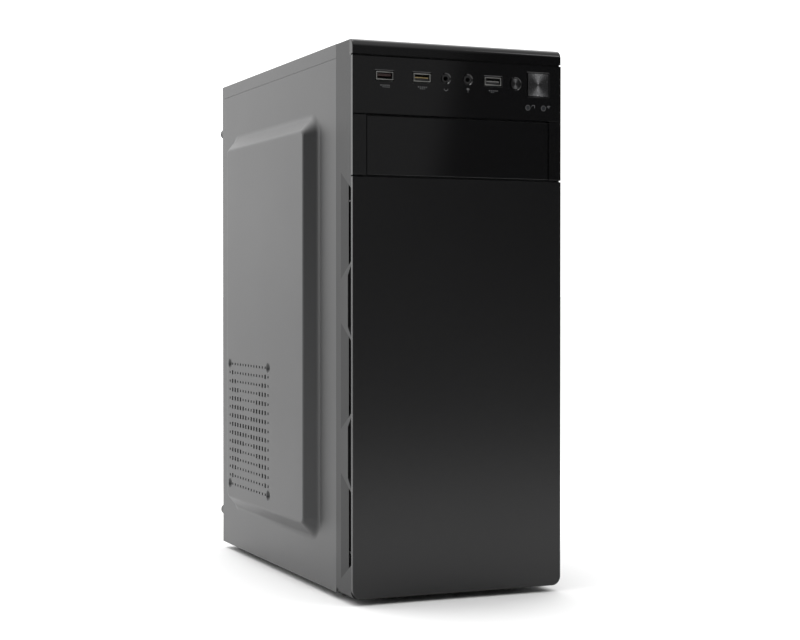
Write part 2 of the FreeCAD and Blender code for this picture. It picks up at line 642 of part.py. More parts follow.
def frame_chamfer(x, z, half_x, half_z, size):
    """A cutter for the sloping rim round a rectangular opening in the front face."""
    def ring(y, grow):
        a, b = half_x + grow, half_z + grow
        return Part.makePolygon([V(x - a, y, z - b), V(x + a, y, z - b), V(x + a, y, z + b),
                                 V(x - a, y, z + b), V(x - a, y, z - b)])
    return Part.makeLoft([ring(Y_FACE - 0.01, size), ring(Y_FACE + size, 0)], True, True)


def lower_fascia():
    plate = rounded_plate(-X_SKIN, X_SKIN, Y_FACE, Y_WEB, Z_PAN, Z_BAY_LOW - SEAM / 2, 7.0, 0)
    return soften(plate, 0.5)


def bay_cover():
    z0, z1 = Z_BAY_LOW + 0.7, Z_BAY_TOP - 1.0
    plate = soften(block(-BAY_HALF, BAY_HALF, Y_FACE, Y_WEB, z0, z1), 0.5)
    arms = []
    for s in (-1, 1):
        arms.append(block(s * (BAY_HALF - 1.2), s * (BAY_HALF - 3.2), Y_WEB - 0.5, Y_WEB + 13, z0 + 8, z1 - 8))
        arms.append(block(s * (BAY_HALF - 0.9), s * (BAY_HALF - 3.2), Y_WEB + 9, Y_WEB + 11, z0 + 12, z1 - 12))
    back = block(-BAY_HALF + 8, BAY_HALF - 8, Y_WEB, Y_WEB + 4, z0 + 3, z0 + 4.6)
    return fuse([plate, back] + arms)


def power_button():
    half = POWER_SIZE / 2
    cap = block(POWER_X - half, POWER_X + half, Y_FACE + 0.3, Y_WEB + 3, POWER_Z - half, POWER_Z + half)
    cap = cap.makeFillet(0.8, edges_along(cap, (0, 1, 0), lambda c: True))
    stem = rod(2.0, (POWER_X, Y_WEB + 2, POWER_Z + 0.9), (POWER_X, Y_FACE + 18.2, POWER_Z + 0.9))
    return fuse([cap, stem])


def reset_button():
    cap = rod(RESET_R, (RESET_X, Y_FACE + 0.3, POWER_Z), (RESET_X, Y_WEB + 3, POWER_Z))
    stem = rod(1.6, (RESET_X, Y_WEB + 2, POWER_Z + 0.9), (RESET_X, Y_FACE + 18.7, POWER_Z + 0.9))
    return fuse([cap, stem])


# ---- Front connector board ----------------------------------------------------------------------
IO_TOP = PORT_Z - 3.0                   # component side of the front board


def front_io_board():
    board = block(-69, 78, Y_FACE + 6.5, Y_PLATE, IO_TOP - BOARD_THICK, IO_TOP)
    return board.cut(block(RESET_X - 7, 79, Y_FACE, Y_FACE + 10, IO_TOP - 3, IO_TOP + 1))


def front_usb_ports():
    shells = []
    for x in USB_X:
        can = block(x - 6.75, x + 6.75, Y_FACE + 0.6, Y_FACE + 15, IO_TOP, IO_TOP + 6.0)
        inside = block(x - 6.2, x + 6.2, Y_FACE, Y_FACE + 12, IO_TOP + 0.6, IO_TOP + 5.4)
        shells.append(can.cut(inside))
    return group(shells)


def front_audio_jacks():
    jacks = []
    for x in JACK_X:
        body = block(x - 4.5, x + 4.5, Y_WEB + 3.2, Y_WEB + 16, IO_TOP, IO_TOP + 6.5)
        nose = rod(3.1, (x, Y_FACE + 0.8, IO_TOP + 3.25), (x, Y_WEB + 4, IO_TOP + 3.25))
        bore = rod(1.8, (x, Y_FACE, IO_TOP + 3.25), (x, Y_FACE + 14.8, IO_TOP + 3.25))
        jacks.append(fuse([body, nose]).cut(bore))
    return group(jacks)


def front_switches():
    switches = []
    for x in (RESET_X, POWER_X):
        body = block(x - 3, x + 3, Y_FACE + 21.0, Y_FACE + 25, IO_TOP, IO_TOP + 6.0)
        stem = rod(1.4, (x, Y_FACE + 20.4, IO_TOP + 3.0), (x, Y_FACE + 21.2, IO_TOP + 3.0))
        switches.append(fuse([body, stem]))
    return group(switches)


def indicator_leds():
    leds = []
    for x in LED_X:
        lens = rod(1.45, (x, Y_FACE + 0.15, LED_Z), (x, Y_WEB + 7, LED_Z))
        rim = rod(1.9, (x, Y_WEB + 3.2, LED_Z), (x, Y_WEB + 4.4, LED_Z))
        bracket = block(x - 1.2, x + 1.2, Y_WEB + 6.8, Y_WEB + 7.8, LED_Z - 1.2, IO_TOP - BOARD_THICK)
        leds.append(fuse([lens, rim, bracket]))
    return group(leds)


# ---- Motherboard and what is on it --------------------------------------------------------------
def motherboard():
    board = block(BOARD_X, BOARD_X + BOARD_THICK, *BOARD_Y, *BOARD_Z)
    holes = []
    for y in BOARD_HOLES_Y:
        for z in BOARD_HOLES_Z:
            holes.append(rod(1.9, (BOARD_X - 1, y, z), (BOARD_X + 3, y, z)))
    return cut(board, holes)


def hex_post(y, z):
    corners = []
    for k in range(6):
        a = math.radians(60 * k)
        corners.append((BOARD_X + BOARD_THICK, y + 3.2 * math.cos(a), z + 3.2 * math.sin(a)))
    post = prism(corners, (TRAY_X - BOARD_X - BOARD_THICK, 0, 0))
    bore = rod(1.5, (BOARD_X, y, z), (BOARD_X + BOARD_THICK + 5, y, z))
    stud = rod(1.5, (TRAY_X - 0.5, y, z), (TRAY_X + 2.1, y, z))
    return fuse([post.cut(bore), stud])


def motherboard_standoffs():
    return group([hex_post(y, z) for y in BOARD_HOLES_Y for z in BOARD_HOLES_Z])


def board_screw(y, z):
    head = Part.makeCone(2.4, 3.4, 1.8, V(BOARD_X - 1.8, y, z), V(1, 0, 0))
    shank = rod(1.4, (BOARD_X - 0.5, y, z), (BOARD_X + 5.5, y, z))
    slots = [block(BOARD_X - 2.5, BOARD_X - 1, y - 1.6, y + 1.6, z - 0.4, z + 0.4),
             block(BOARD_X - 2.5, BOARD_X - 1, y - 0.4, y + 0.4, z - 1.6, z + 1.6)]
    return cut(fuse([head, shank]), slots)


def motherboard_screws():
    return group([board_screw(y, z) for y in BOARD_HOLES_Y for z in BOARD_HOLES_Z])


def on_board(low, high, y0, y1, z0, z1):
    """A block that stands on the board, from one height above it to another."""
    return block(BOARD_X - low, BOARD_X - high, y0, y1, z0, z1)


def cpu_socket():
    y, z = CPU
    frame = on_board(0, 3.4, y - 24, y + 24, z - 24, z + 24)
    lever = rod(0.9, (BOARD_X - 2.4, y + 26, z - 22), (BOARD_X - 2.4, y + 26, z + 20))
    arm = rod(0.9, (BOARD_X - 2.4, y + 23, z + 20), (BOARD_X - 2.4, y + 26.9, z + 20))
    return fuse([frame, lever, arm])


def cpu():
    y, z = CPU
    base = on_board(3.4, 4.6, y - 18.75, y + 18.75, z - 18.75, z + 18.75)
    lid = on_board(4.6, 6.4, y - 15, y + 15, z - 15, z + 15)
    return fuse([base, lid])


def cpu_heatsink():
    y, z = CPU
    pieces = [on_board(6.4, 14, y - 34, y + 34, z - 34, z + 34)]
    count = 23
    for k in range(count):
        at = z - 44 + 88.0 * k / (count - 1)
        pieces.append(on_board(13.5, 38.9, y - 45, y + 45, at - 0.6, at + 0.6))
    pieces.append(on_board(13.5, 16, y - 45, y + 45, z - 44.6, z + 44.6))
    return fuse(pieces)


def fan_frame(size, hub_r, thick, hole_spacing, hole_r):
    """A fan housing in its own frame: square to Z, with the motor plate and its spokes at z = 0."""
    half = size / 2
    frame = block(-half, half, -half, half, 0, thick)
    frame = frame.makeFillet(size * 0.06, edges_along(frame, (0, 0, 1), lambda c: True))
    duct = half - 1.8
    body = frame.cut(rod(duct, (0, 0, -1), (0, 0, thick + 1)))
    for s in range(4):
        waist = block(half - 6.5, half + 1, -half + 13, half - 13, 4, thick - 4)
        waist = waist.cut(rod(duct + 1.6, (0, 0, 0), (0, 0, thick)))
        waist.rotate(V(0, 0, 0), V(0, 0, 1), 90 * s)
        body = body.cut(waist)
    motor = rod(hub_r - 0.5, (0, 0, 0), (0, 0, 3.2))
    spokes = []
    for s in range(4):
        spoke = block(hub_r - 2, duct + 1, -1.6, 1.6, 0, 2.6)
        spoke.rotate(V(0, 0, 0), V(0, 0, 1), 90 * s + 30)
        spokes.append(spoke)
    holes = []
    h = hole_spacing / 2
    for sx in (-1, 1):
        for sy in (-1, 1):
            holes.append(rod(hole_r, (sx * h, sy * h, -1), (sx * h, sy * h, thick + 1)))
    holes.append(rod(AXLE_R + 0.05, (0, 0, 0.8), (0, 0, 4)))
    return cut(fuse([body, motor] + spokes), holes)


def fan_rotor(size, hub_r, thick, blades):
    """Hub cup and pitched blades, in the same frame as fan_frame."""
    tip = size / 2 - 3.2
    hub = rod(hub_r, (0, 0, 3.8), (0, 0, thick - 1.2))
    hub = hub.makeFillet(1.0, [e for e in hub.Edges if abs(e.CenterOfMass.z - thick + 1.2) < 1e-3
                               and e.Curve.TypeId == "Part::GeomCircle"])
    parts = [hub, rod(AXLE_R, (0, 0, 1.0), (0, 0, 5))]
    low, high = 6.0, thick - 3.0
    ring = rod(tip, (0, 0, 3.9), (0, 0, thick - 1.4))
    for k in range(blades):
        sections = []
        for r, lean in ((hub_r - 1.5, 34.0), (tip + 3, 58.0)):
            run = math.tan(math.radians(lean)) * (high - low) / 2
            run = min(run, math.pi * r / blades * 0.86)
            sections.append(Part.makePolygon([V(r, -run, low - 0.7), V(r, -run, low + 0.7),
                                              V(r, run, high + 0.7), V(r, run, high - 0.7),
                                              V(r, -run, low - 0.7)]))
        blade = Part.makeLoft(sections, True, True)
        blade = blade.common(ring)
        blade.rotate(V(0, 0, 0), V(0, 0, 1), 360.0 * k / blades)
        parts.append(blade)
    return fuse(parts)


def facing_rear(shape, x, z, y_back):
    """Turns a fan so that its motor plate faces the rear, at y_back."""
    shape.rotate(V(0, 0, 0), V(1, 0, 0), 90)
    shape.translate(V(x, y_back, z))
    return shape


def facing_board(shape, y, z, x_low):
    """Turns a fan so that its open side faces the left panel and its motor plate the board."""
    shape.rotate(V(0, 0, 0), V(0, 1, 0), -90)
    shape.translate(V(x_low, y, z))
    return shape


def memory_slots():
    slots = []
    for y in RAM_Y:
        body = on_board(0, 7.5, y - 3.3, y + 3.3, 177, 315)
        groove = on_board(2, 9, y - 0.85, y + 0.85, 179.5, 312.5)
        latches = []
        for z0, z1 in ((172.5, 178), (314, 319.5)):
            latches.append(on_board(0, 17, y - 2.4, y + 2.4, z0, z1))
        notch = on_board(2, 18, y - 0.85, y + 0.85, 174, 318)
        slots.append(fuse([body] + latches).cut(group([groove, notch])))
    return group(slots)


def memory_modules():
    modules = []
    for y in RAM_Y:
        parts = [on_board(2.2, 33, y - 0.7, y + 0.7, 179.6, 312.4)]
        for k in range(8):
            z = 186 + 15.4 * k + (4 if k > 3 else 0)
            parts.append(on_board(12, 26, y - 1.9, y - 0.5, z - 0.5, z + 9.5))
            parts.append(on_board(12, 26, y + 0.5, y + 1.9, z - 0.5, z + 9.5))
        modules.append(fuse(parts))
    return group(modules)


def expansion_sockets():
    sockets = []
    for k, y0 in ((0, 68.0), (1, 4.0), (3, 68.0)):
        z = slot_heights()[k]
        body = on_board(0, 11, y0, 93, z - 3.75, z + 3.75)
        sockets.append(body.cut(on_board(3, 12, y0 + 2, 91, z - 0.9, z + 0.9)))
    return group(sockets)


def rear_ports():
    """Name, height range, how far it stands off the board, and the openings in its rear face."""
    return [("keyboard", 297, 311, 13), ("twin_usb_a", 278, 292.5, 16), ("display", 255, 273, 8),
            ("twin_usb_b", 236, 250.5, 16), ("network", 214, 230.5, 28), ("sound_a", 199, 211, 13),
            ("sound_b", 186.5, 198.5, 13), ("sound_c", 174, 186, 13)]


def rear_port_block():
    y0, y1 = 131.0, Y_REAR + 0.8
    blocks = []
    for name, z0, z1, height in rear_ports():
        body = on_board(0, height, y0 + (0 if height > 14 else 6), y1, z0, z1)
        z = (z0 + z1) / 2
        holes = []
        if name == "keyboard":
            holes.append(rod(4.9, (BOARD_X - 6.5, y1 - 9, z), (BOARD_X - 6.5, y1 + 1, z)))
        elif name.startswith("sound"):
            holes.append(rod(1.8, (BOARD_X - 6.5, y1 - 12, z), (BOARD_X - 6.5, y1 + 1, z)))
        elif name.startswith("twin"):
            for low in (1.2, 8.8):
                holes.append(block(BOARD_X - low, BOARD_X - low - 5.4, y1 - 10, y1 + 1, z - 6.4, z + 6.4))
        elif name == "display":
            holes.append(block(BOARD_X - 1.4, BOARD_X - 6.4, y1 - 9, y1 + 1, z - 7.4, z + 7.4))
        else:
            holes.append(block(BOARD_X - 17, BOARD_X - 26, y1 - 12, y1 + 1, z - 6, z + 6))
            for low in (1.2, 8.6):
                holes.append(block(BOARD_X - low, BOARD_X - low - 5.4, y1 - 10, y1 + 1, z - 6.4, z + 6.4))
        blocks.append(cut(body, holes))
    return group(blocks)


def io_shield():
    x0, x1 = SHIELD_X[0] + 0.3, SHIELD_X[1] - 0.3
    z0, z1 = SHIELD_Z[0] + 0.3, SHIELD_Z[1] - 0.3
    y0, y1 = Y_INNER_REAR + 0.1, Y_REAR - 0.1
    plate = block(x0, x1, y0, y1, z0, z1)
    rim = block(x0, x1, y0 - 3, y0, z0, z1).cut(block(x0 + 0.5, x1 - 0.5, y0 - 4, y0 + 1, z0 + 0.5, z1 - 0.5))
    holes = []
    for _, low, high, height in rear_ports():
        holes.append(block(BOARD_X + 0.3, BOARD_X - height - 0.3, y0 - 1, y1 + 1, low - 0.3, high + 0.3))
    return cut(fuse([plate, rim]), holes)


def chipset_heatsink():
    pieces = [on_board(0, 4, -38, 0, 120, 158)]
    pieces += [on_board(3.5, 11, -38, 0, 120 + 4.6 * k, 121.4 + 4.6 * k) for k in range(9)]
    return fuse(pieces)


def coin_cell():
    holder = on_board(0, 3.4, 14, 36, 158.5, 180)
    well = rod(10.1, (BOARD_X - 5, 25, 169.5), (BOARD_X - 1.0, 25, 169.5))
    cell = rod(9.9, (BOARD_X - 1.1, 25, 169.5), (BOARD_X - 4.2, 25, 169.5))
    return group([holder.cut(well), cell])


POWER_SOCKET = (-48.0, 276.0)
CPU_SOCKET_PLUG = (94.5, 316.6)
SATA_SOCKET = (-46.0, 180.0)
HEADER = (24.0, 92.0)


def board_sockets():
    """Shrouds with an open top, for the plugs of the power, drive and front panel cables."""
    shrouds = []
    for (y, z), half_y, half_z, height in ((POWER_SOCKET, 5.0, 26.0, 13.0),
                                           (CPU_SOCKET_PLUG, 9.6, 5.0, 13.0),
                                           (SATA_SOCKET, 4.4, 8.5, 9.0), (HEADER, 5.0, 9.0, 8.0)):
        outer = on_board(0, height, y - half_y, y + half_y, z - half_z, z + half_z)
        hollow = on_board(2, height + 1, y - half_y + 1, y + half_y - 1, z - half_z + 1, z + half_z - 1)
        shrouds.append(outer.cut(hollow))
    return group(shrouds)


def regulator_parts():
    """Chokes and capacitors beside the processor, and a few capacitors elsewhere."""
    parts = []
    for k in range(4):
        z = 222 + 24.0 * k
        parts.append(on_board(0, 9, 118.5, 127.5, z - 5, z + 5))
        can = rod(3.6, (BOARD_X, 123, z + 12), (BOARD_X - 11, 123, z + 12))
        parts.append(can.makeFillet(0.7, [e for e in can.Edges if abs(e.CenterOfMass.x - BOARD_X + 11) < 1e-3
                                          and e.Curve.TypeId == "Part::GeomCircle"]))
    for y, z in ((110, 168), (100, 168), (-42, 225), (-42, 214), (-30, 168), (110, 90), (100, 90)):
        can = rod(3.1, (BOARD_X, y, z), (BOARD_X - 9, y, z))
        parts.append(can)
    return group(parts)


# ---- Rear fan, expansion slots, screws ----------------------------------------------------------
def slot_cover(z):
    blade = block(SHELF_X, 66, Y_INNER_REAR - SHEET, Y_INNER_REAR, z - 9.2, z + 9.2)
    tab = block(SHELF_X - SHEET, SHELF_X, Y_INNER_REAR - SHEET, Y_REAR + 9.6, z - 9.2, z + 9.2)
    hole = rod(SCREW_HOLE_R, (SHELF_X - 2, Y_REAR + 5.6, z), (SHELF_X + 1, Y_REAR + 5.6, z))
    vents = []
    for k in range(9):
        x = SLOT_X[0] + 11 + 11.0 * k
        vents.append(block(x - 4.2, x + 4.2, Y_INNER_REAR - 2, Y_INNER_REAR + 1, z - 3.6, z - 1.4))
        vents.append(block(x - 4.2, x + 4.2, Y_INNER_REAR - 2, Y_INNER_REAR + 1, z + 1.4, z + 3.6))
    return cut(fuse([blade, tab]), vents + [hole])


def expansion_slot_covers():
    return group([slot_cover(z) for z in slot_heights()])


def case_screws():
    """The same washer-head screw holds the slot covers, the power supply and the hard drive."""
    screws = []
    for z in slot_heights():
        screws.append(washer_screw((SHELF_X - SHEET, Y_REAR + 5.6, z), (1, 0, 0), 5.0))
    for x, z in psu_screw_places():
        screws.append(washer_screw((x, Y_REAR, z), (0, -1, 0), 5.5))
    for y in HDD_HOLES_Y[:2]:
        for x, way in ((HDD_CAGE_X[0] - SHEET, 1), (HDD_CAGE_X[1] + SHEET, -1)):
            screws.append(washer_screw((x, hdd_front() + y, HDD_Z + 6.4), (way, 0, 0), 4.0))
    return group(screws)


def rear_fan_screws():
    screws = []
    for x, z in fan_corners(REAR_FAN, REAR_FAN_HOLES):
        head = Part.makeCone(3.9, 2.8, 2.0, V(x, Y_REAR, z), V(0, 1, 0))
        shank = rod(2.0, (x, Y_REAR - 9, z), (x, Y_REAR + 0.3, z))
        slots = [block(x - 1.9, x + 1.9, Y_REAR + 1, Y_REAR + 3, z - 0.45, z + 0.45),
                 block(x - 0.45, x + 0.45, Y_REAR + 1, Y_REAR + 3, z - 1.9, z + 1.9)]
        screws.append(cut(fuse([head, shank]), slots))
    return group(screws)


# ---- Power supply -------------------------------------------------------------------------------
def psu_front():
    return Y_INNER_REAR - PSU_LEN


CABLE_EXIT_Z = 376.0
CABLE_EXITS = {"main": (14.0, 4.5), "processor": (-16.0, 3.4), "drive": (-46.0, 3.0)}


def power_supply_case():
    z0, z1 = PSU_Z[0], PSU_Z[1] - SHEET
    x = PSU_HALF - SHEET
    rear = block(-x, x, Y_INNER_REAR - SHEET, Y_INNER_REAR, z0, z1)
    floor = block(-x, x, psu_front(), Y_INNER_REAR, z0, z0 + SHEET)
    front = block(-x, x, psu_front(), psu_front() + SHEET, z0, z1)
    y0 = Y_INNER_REAR - 2
    holes = honeycomb(PSU_FAN, 37.5, 6.6, 3.1, y0, 4)
    for px, pz in psu_screw_places():
        holes.append(rod(SCREW_HOLE_R, (px, y0, pz), (px, y0 + 4, pz)))
    for px, pz in fan_corners(PSU_FAN, 71.5):
        holes.append(rod(2.2, (px, y0, pz), (px, y0 + 4, pz)))
    holes.append(block(INLET[0] - 13.7, INLET[0] + 13.7, y0, y0 + 4, INLET[1] - 10.2, INLET[1] + 10.2))
    holes.append(block(ROCKER[0] - 10.2, ROCKER[0] + 10.2, y0, y0 + 4, ROCKER[1] - 7.2, ROCKER[1] + 7.2))
    for ex, er in CABLE_EXITS.values():
        holes.append(rod(er + 1.2, (ex, psu_front() - 1, CABLE_EXIT_Z), (ex, psu_front() + 2, CABLE_EXIT_Z)))
    for k in range(12):
        sx = -66 + 11.0 * k
        holes.append(block(sx, sx + 4, psu_front() - 1, psu_front() + 2, 336, 362))
    return cut(fuse([rear, floor, front]), holes)


def power_supply_cover():
    z0, z1 = PSU_Z
    top = block(-PSU_HALF, PSU_HALF, psu_front(), Y_INNER_REAR, z1 - SHEET, z1)
    sides = []
    for s in (-1, 1):
        sides.append(block(s * PSU_HALF, s * (PSU_HALF - SHEET), psu_front(), Y_INNER_REAR, z0, z1))
    slots = []
    for k in range(7):
        y = psu_front() + 16 + 8.0 * k
        slots.append(block(-PSU_HALF - 1, PSU_HALF + 1, y, y + 3, 350, 386))
    return cut(fuse([top] + sides), slots)


def power_supply_board():
    """The converter board with its transformer, coils, capacitors and two heat spreaders."""
    z = PSU_Z[0] + 6
    y0 = psu_front() + 8
    board = block(-68, 68, y0, y0 + 104, z, z + 1.6)
    parts = [board]
    for x in (-66.0, 66.0):
        for y in (y0 + 3, y0 + 99):
            parts.append(rod(2.5, (x, y, PSU_Z[0] + SHEET), (x, y, z + 0.2)))
    for x in (-30.0, 24.0):
        parts.append(block(x, x + 4, y0 + 14, y0 + 92, z + 1, z + 48))
    parts.append(block(-16, 16, y0 + 40, y0 + 76, z + 1, z + 34))
    parts.append(rod(11, (-50, y0 + 30, z + 1), (-50, y0 + 30, z + 36)))
    parts.append(rod(11, (-50, y0 + 62, z + 1), (-50, y0 + 62, z + 36)))
    parts.append(rod(13, (46, y0 + 44, z + 1), (46, y0 + 44, z + 15)))
    return fuse(parts)


def fan_guard():
    """A round wire guard of rings on crossed wires, with four eyes."""
    y = Y_INNER_REAR + 2.4
    x0, z0 = PSU_FAN
    parts = [Part.makeTorus(r, 0.8, V(x0, y, z0), V(0, 1, 0)) for r in (7.5, 14.5, 21.5, 28.5, 35.5)]
    for px, pz in fan_corners(PSU_FAN, 71.5):
        eye = Part.makeCylinder(3.6, 1.4, V(px, Y_INNER_REAR, pz), V(0, 1, 0))
        parts.append(eye.cut(rod(2.0, (px, y - 4, pz), (px, y + 4, pz))))
        mid = V(x0, Y_INNER_REAR + 1.2, z0)
        end = V(px, Y_INNER_REAR + 1.2, pz)
        way = (end - mid).normalize()
        parts.append(rod(0.8, tuple(mid + way * 6.2), tuple(end - way * 2.9)))
    return fuse(parts)


def mains_inlet():
    """The three-pole inlet's shell and the rocker's frame."""
    x, z = INLET
    flange = block(x - 15.5, x + 15.5, Y_INNER_REAR, Y_INNER_REAR + 1.6, z - 12, z + 12)
    body = block(x - 13.5, x + 13.5, Y_INNER_REAR - 22, Y_INNER_REAR + 1.6, z - 10, z + 10)
    inlet = fuse([flange, body])
    inlet = inlet.makeFillet(3.0, edges_along(inlet, (0, 1, 0), lambda c: c.y > Y_INNER_REAR))
    a, b = 12.0, 8.0
    recess = prism([(x - a, Y_INNER_REAR - 16, z + b), (x + a, Y_INNER_REAR - 16, z + b),
                    (x + a, Y_INNER_REAR - 16, z - b + 4.5), (x + a - 4.5, Y_INNER_REAR - 16, z - b),
                    (x - a + 4.5, Y_INNER_REAR - 16, z - b), (x - a, Y_INNER_REAR - 16, z - b + 4.5)],
                   (0, 20, 0))
    inlet = inlet.cut(recess)
    x, z = ROCKER
    frame = fuse([block(x - 11.5, x + 11.5, Y_INNER_REAR, Y_INNER_REAR + 2, z - 8.5, z + 8.5),
                  block(x - 10, x + 10, Y_INNER_REAR - 16, Y_INNER_REAR + 2, z - 7, z + 7)])
    pivot = (Y_INNER_REAR - 3.5, 1.55)
    frame = cut(frame, [block(x - 9.5, x + 9.5, Y_INNER_REAR - 14, Y_INNER_REAR + 3, z - 6.2, z + 6.2),
                        rod(pivot[1], (x, pivot[0], z - 6.9), (x, pivot[0], z + 6.9))])
    return group([inlet, frame])


def power_rocker():
    """A rocker with two slanting faces, leaning to its on side at rest."""
    x, z = ROCKER
    pivot_y = Y_INNER_REAR - 3.5
    drum = rod(ROCKER_R, (x, pivot_y, z - 5.9), (x, pivot_y, z + 5.9))
    face = pivot_y + 5.6
    keep = prism([(x - 12, pivot_y - 12, z - 7), (x + 12, pivot_y - 12, z - 7), (x + 12, face + 1.6, z - 7),
                  (x, face - 0.6, z - 7), (x - 12, face + 1.6, z - 7)], (0, 0, 14))
    drum = drum.common(keep)
    drum = drum.cut(block(x - 12, x + 12, pivot_y - 12, pivot_y - 2.5, z - 8, z + 8))
    pin = rod(1.5, (x, pivot_y, z - 6.7), (x, pivot_y, z + 6.7))
    rocker = fuse([drum, pin])
    rocker.rotate(V(x, pivot_y, z), V(0, 0, 1), ROCKER_REST)
    return rocker


# ---- Drives and cables --------------------------------------------------------------------------
def hard_drive():
    x0 = (HDD_CAGE_X[0] + HDD_CAGE_X[1]) / 2 - HDD_SIZE[0] / 2
    y0 = hdd_front()
    body = block(x0, x0 + HDD_SIZE[0], y0, y0 + HDD_SIZE[1], HDD_Z, HDD_Z + HDD_SIZE[2] - 3)
    lid = block(x0 + 2, x0 + HDD_SIZE[0] - 2, y0 + 1.5, y0 + HDD_SIZE[1] - 8,
                HDD_Z + HDD_SIZE[2] - 3, HDD_Z + HDD_SIZE[2])
    lid = lid.makeFillet(5, edges_along(lid, (0, 0, 1), lambda c: True))
    drive = fuse([body, lid])
    holes = []
    for y in HDD_HOLES_Y:
        for x, way in ((x0, 1), (x0 + HDD_SIZE[0], -1)):
            holes.append(rod(SCREW_HOLE_R, (x - way, y0 + y, HDD_Z + 6.4), (x + 5 * way, y0 + y, HDD_Z + 6.4)))
    holes.append(block(x0 + 12, x0 + 92, y0 + HDD_SIZE[1] - 7, y0 + HDD_SIZE[1] + 1, HDD_Z - 1, HDD_Z + 8))
    return cut(drive, holes)


def hdd_back():
    return hdd_front() + HDD_SIZE[1]


def power_supply_harness():
    """The supply's three captive cables: main board, processor and drive."""
    return group([main_power_cable(), processor_power_cable(), drive_power_cable()])


def main_power_cable():
    y, z = POWER_SOCKET
    x, r = CABLE_EXITS["main"]
    plug = on_board(2.1, 22, y - 3.9, y + 3.9, z - 24.8, z + 24.8)
    tube = cable([(x, psu_front() + 0.5, CABLE_EXIT_Z), (x, -40, CABLE_EXIT_Z - 2), (x - 16, y, z),
                  (BOARD_X - 22, y, z)], r)
    return group([plug, tube])


def processor_power_cable():
    y, z = CPU_SOCKET_PLUG
    x, r = CABLE_EXITS["processor"]
    low = PSU_Z[0] - 8.5
    plug = on_board(2.1, 22, y - 8.5, y + 8.5, z - 3.9, z + 3.9)
    tube = cable([(x, psu_front() + 0.5, CABLE_EXIT_Z), (x, -30, CABLE_EXIT_Z), (x, -26, low),
                  (x + 6, 30, low), (x + 10, y, z), (BOARD_X - 22, y, z)], r)
    return group([plug, tube])


def drive_power_cable():
    x, r = CABLE_EXITS["drive"]
    low, back = HDD_Z + 4, hdd_back() + 8
    plug = block(x - 4, x + 20, back - 14.8, back, low - 3.6, low + 3.6)
    tube = cable([(x, psu_front() + 0.5, CABLE_EXIT_Z), (x, -25, CABLE_EXIT_Z - 2), (x + 2, -24, 302),
                  (x + 3, 2, 234), (x + 6, 36, 168), (x + 8, 58, 108), (x + 8, 60, low),
                  (x + 8, back, low)], r)
    return group([plug, tube])


def sata_data_cable():
    y, z = SATA_SOCKET
    low, back = HDD_Z + 4, hdd_back() + 8
    plug = on_board(2.1, 18, y - 3.3, y + 3.3, z - 7.3, z + 7.3)
    drive_plug = block(5, 21, back - 14.8, back, low - 3.6, low + 3.6)
    tube = cable([(BOARD_X - 18, y, z), (8, y, z + 4), (8, -4, 158), (10, 50, 112), (13, 52, low),
                  (13, back, low)], 2.6)
    return group([plug, drive_plug, tube])


def front_panel_cable():
    y, z = HEADER
    top = PORT_Z + 3
    plug = on_board(2.1, 16, y - 3.9, y + 3.9, z - 7.9, z + 7.9)
    socket = block(38, 54, Y_PLATE - 8, Y_PLATE - 1, IO_TOP, IO_TOP + 8)
    tube = cable([(46, Y_PLATE - 1, top), (50, -84, top + 2.6), (58, -30, top - 1.4), (24, 2, 330),
                  (18, 4, 250), (22, 2, 180), (20, 10, 128), (16, y, z), (BOARD_X - 16, y, z)], 2.6)
    return group([plug, socket, tube])


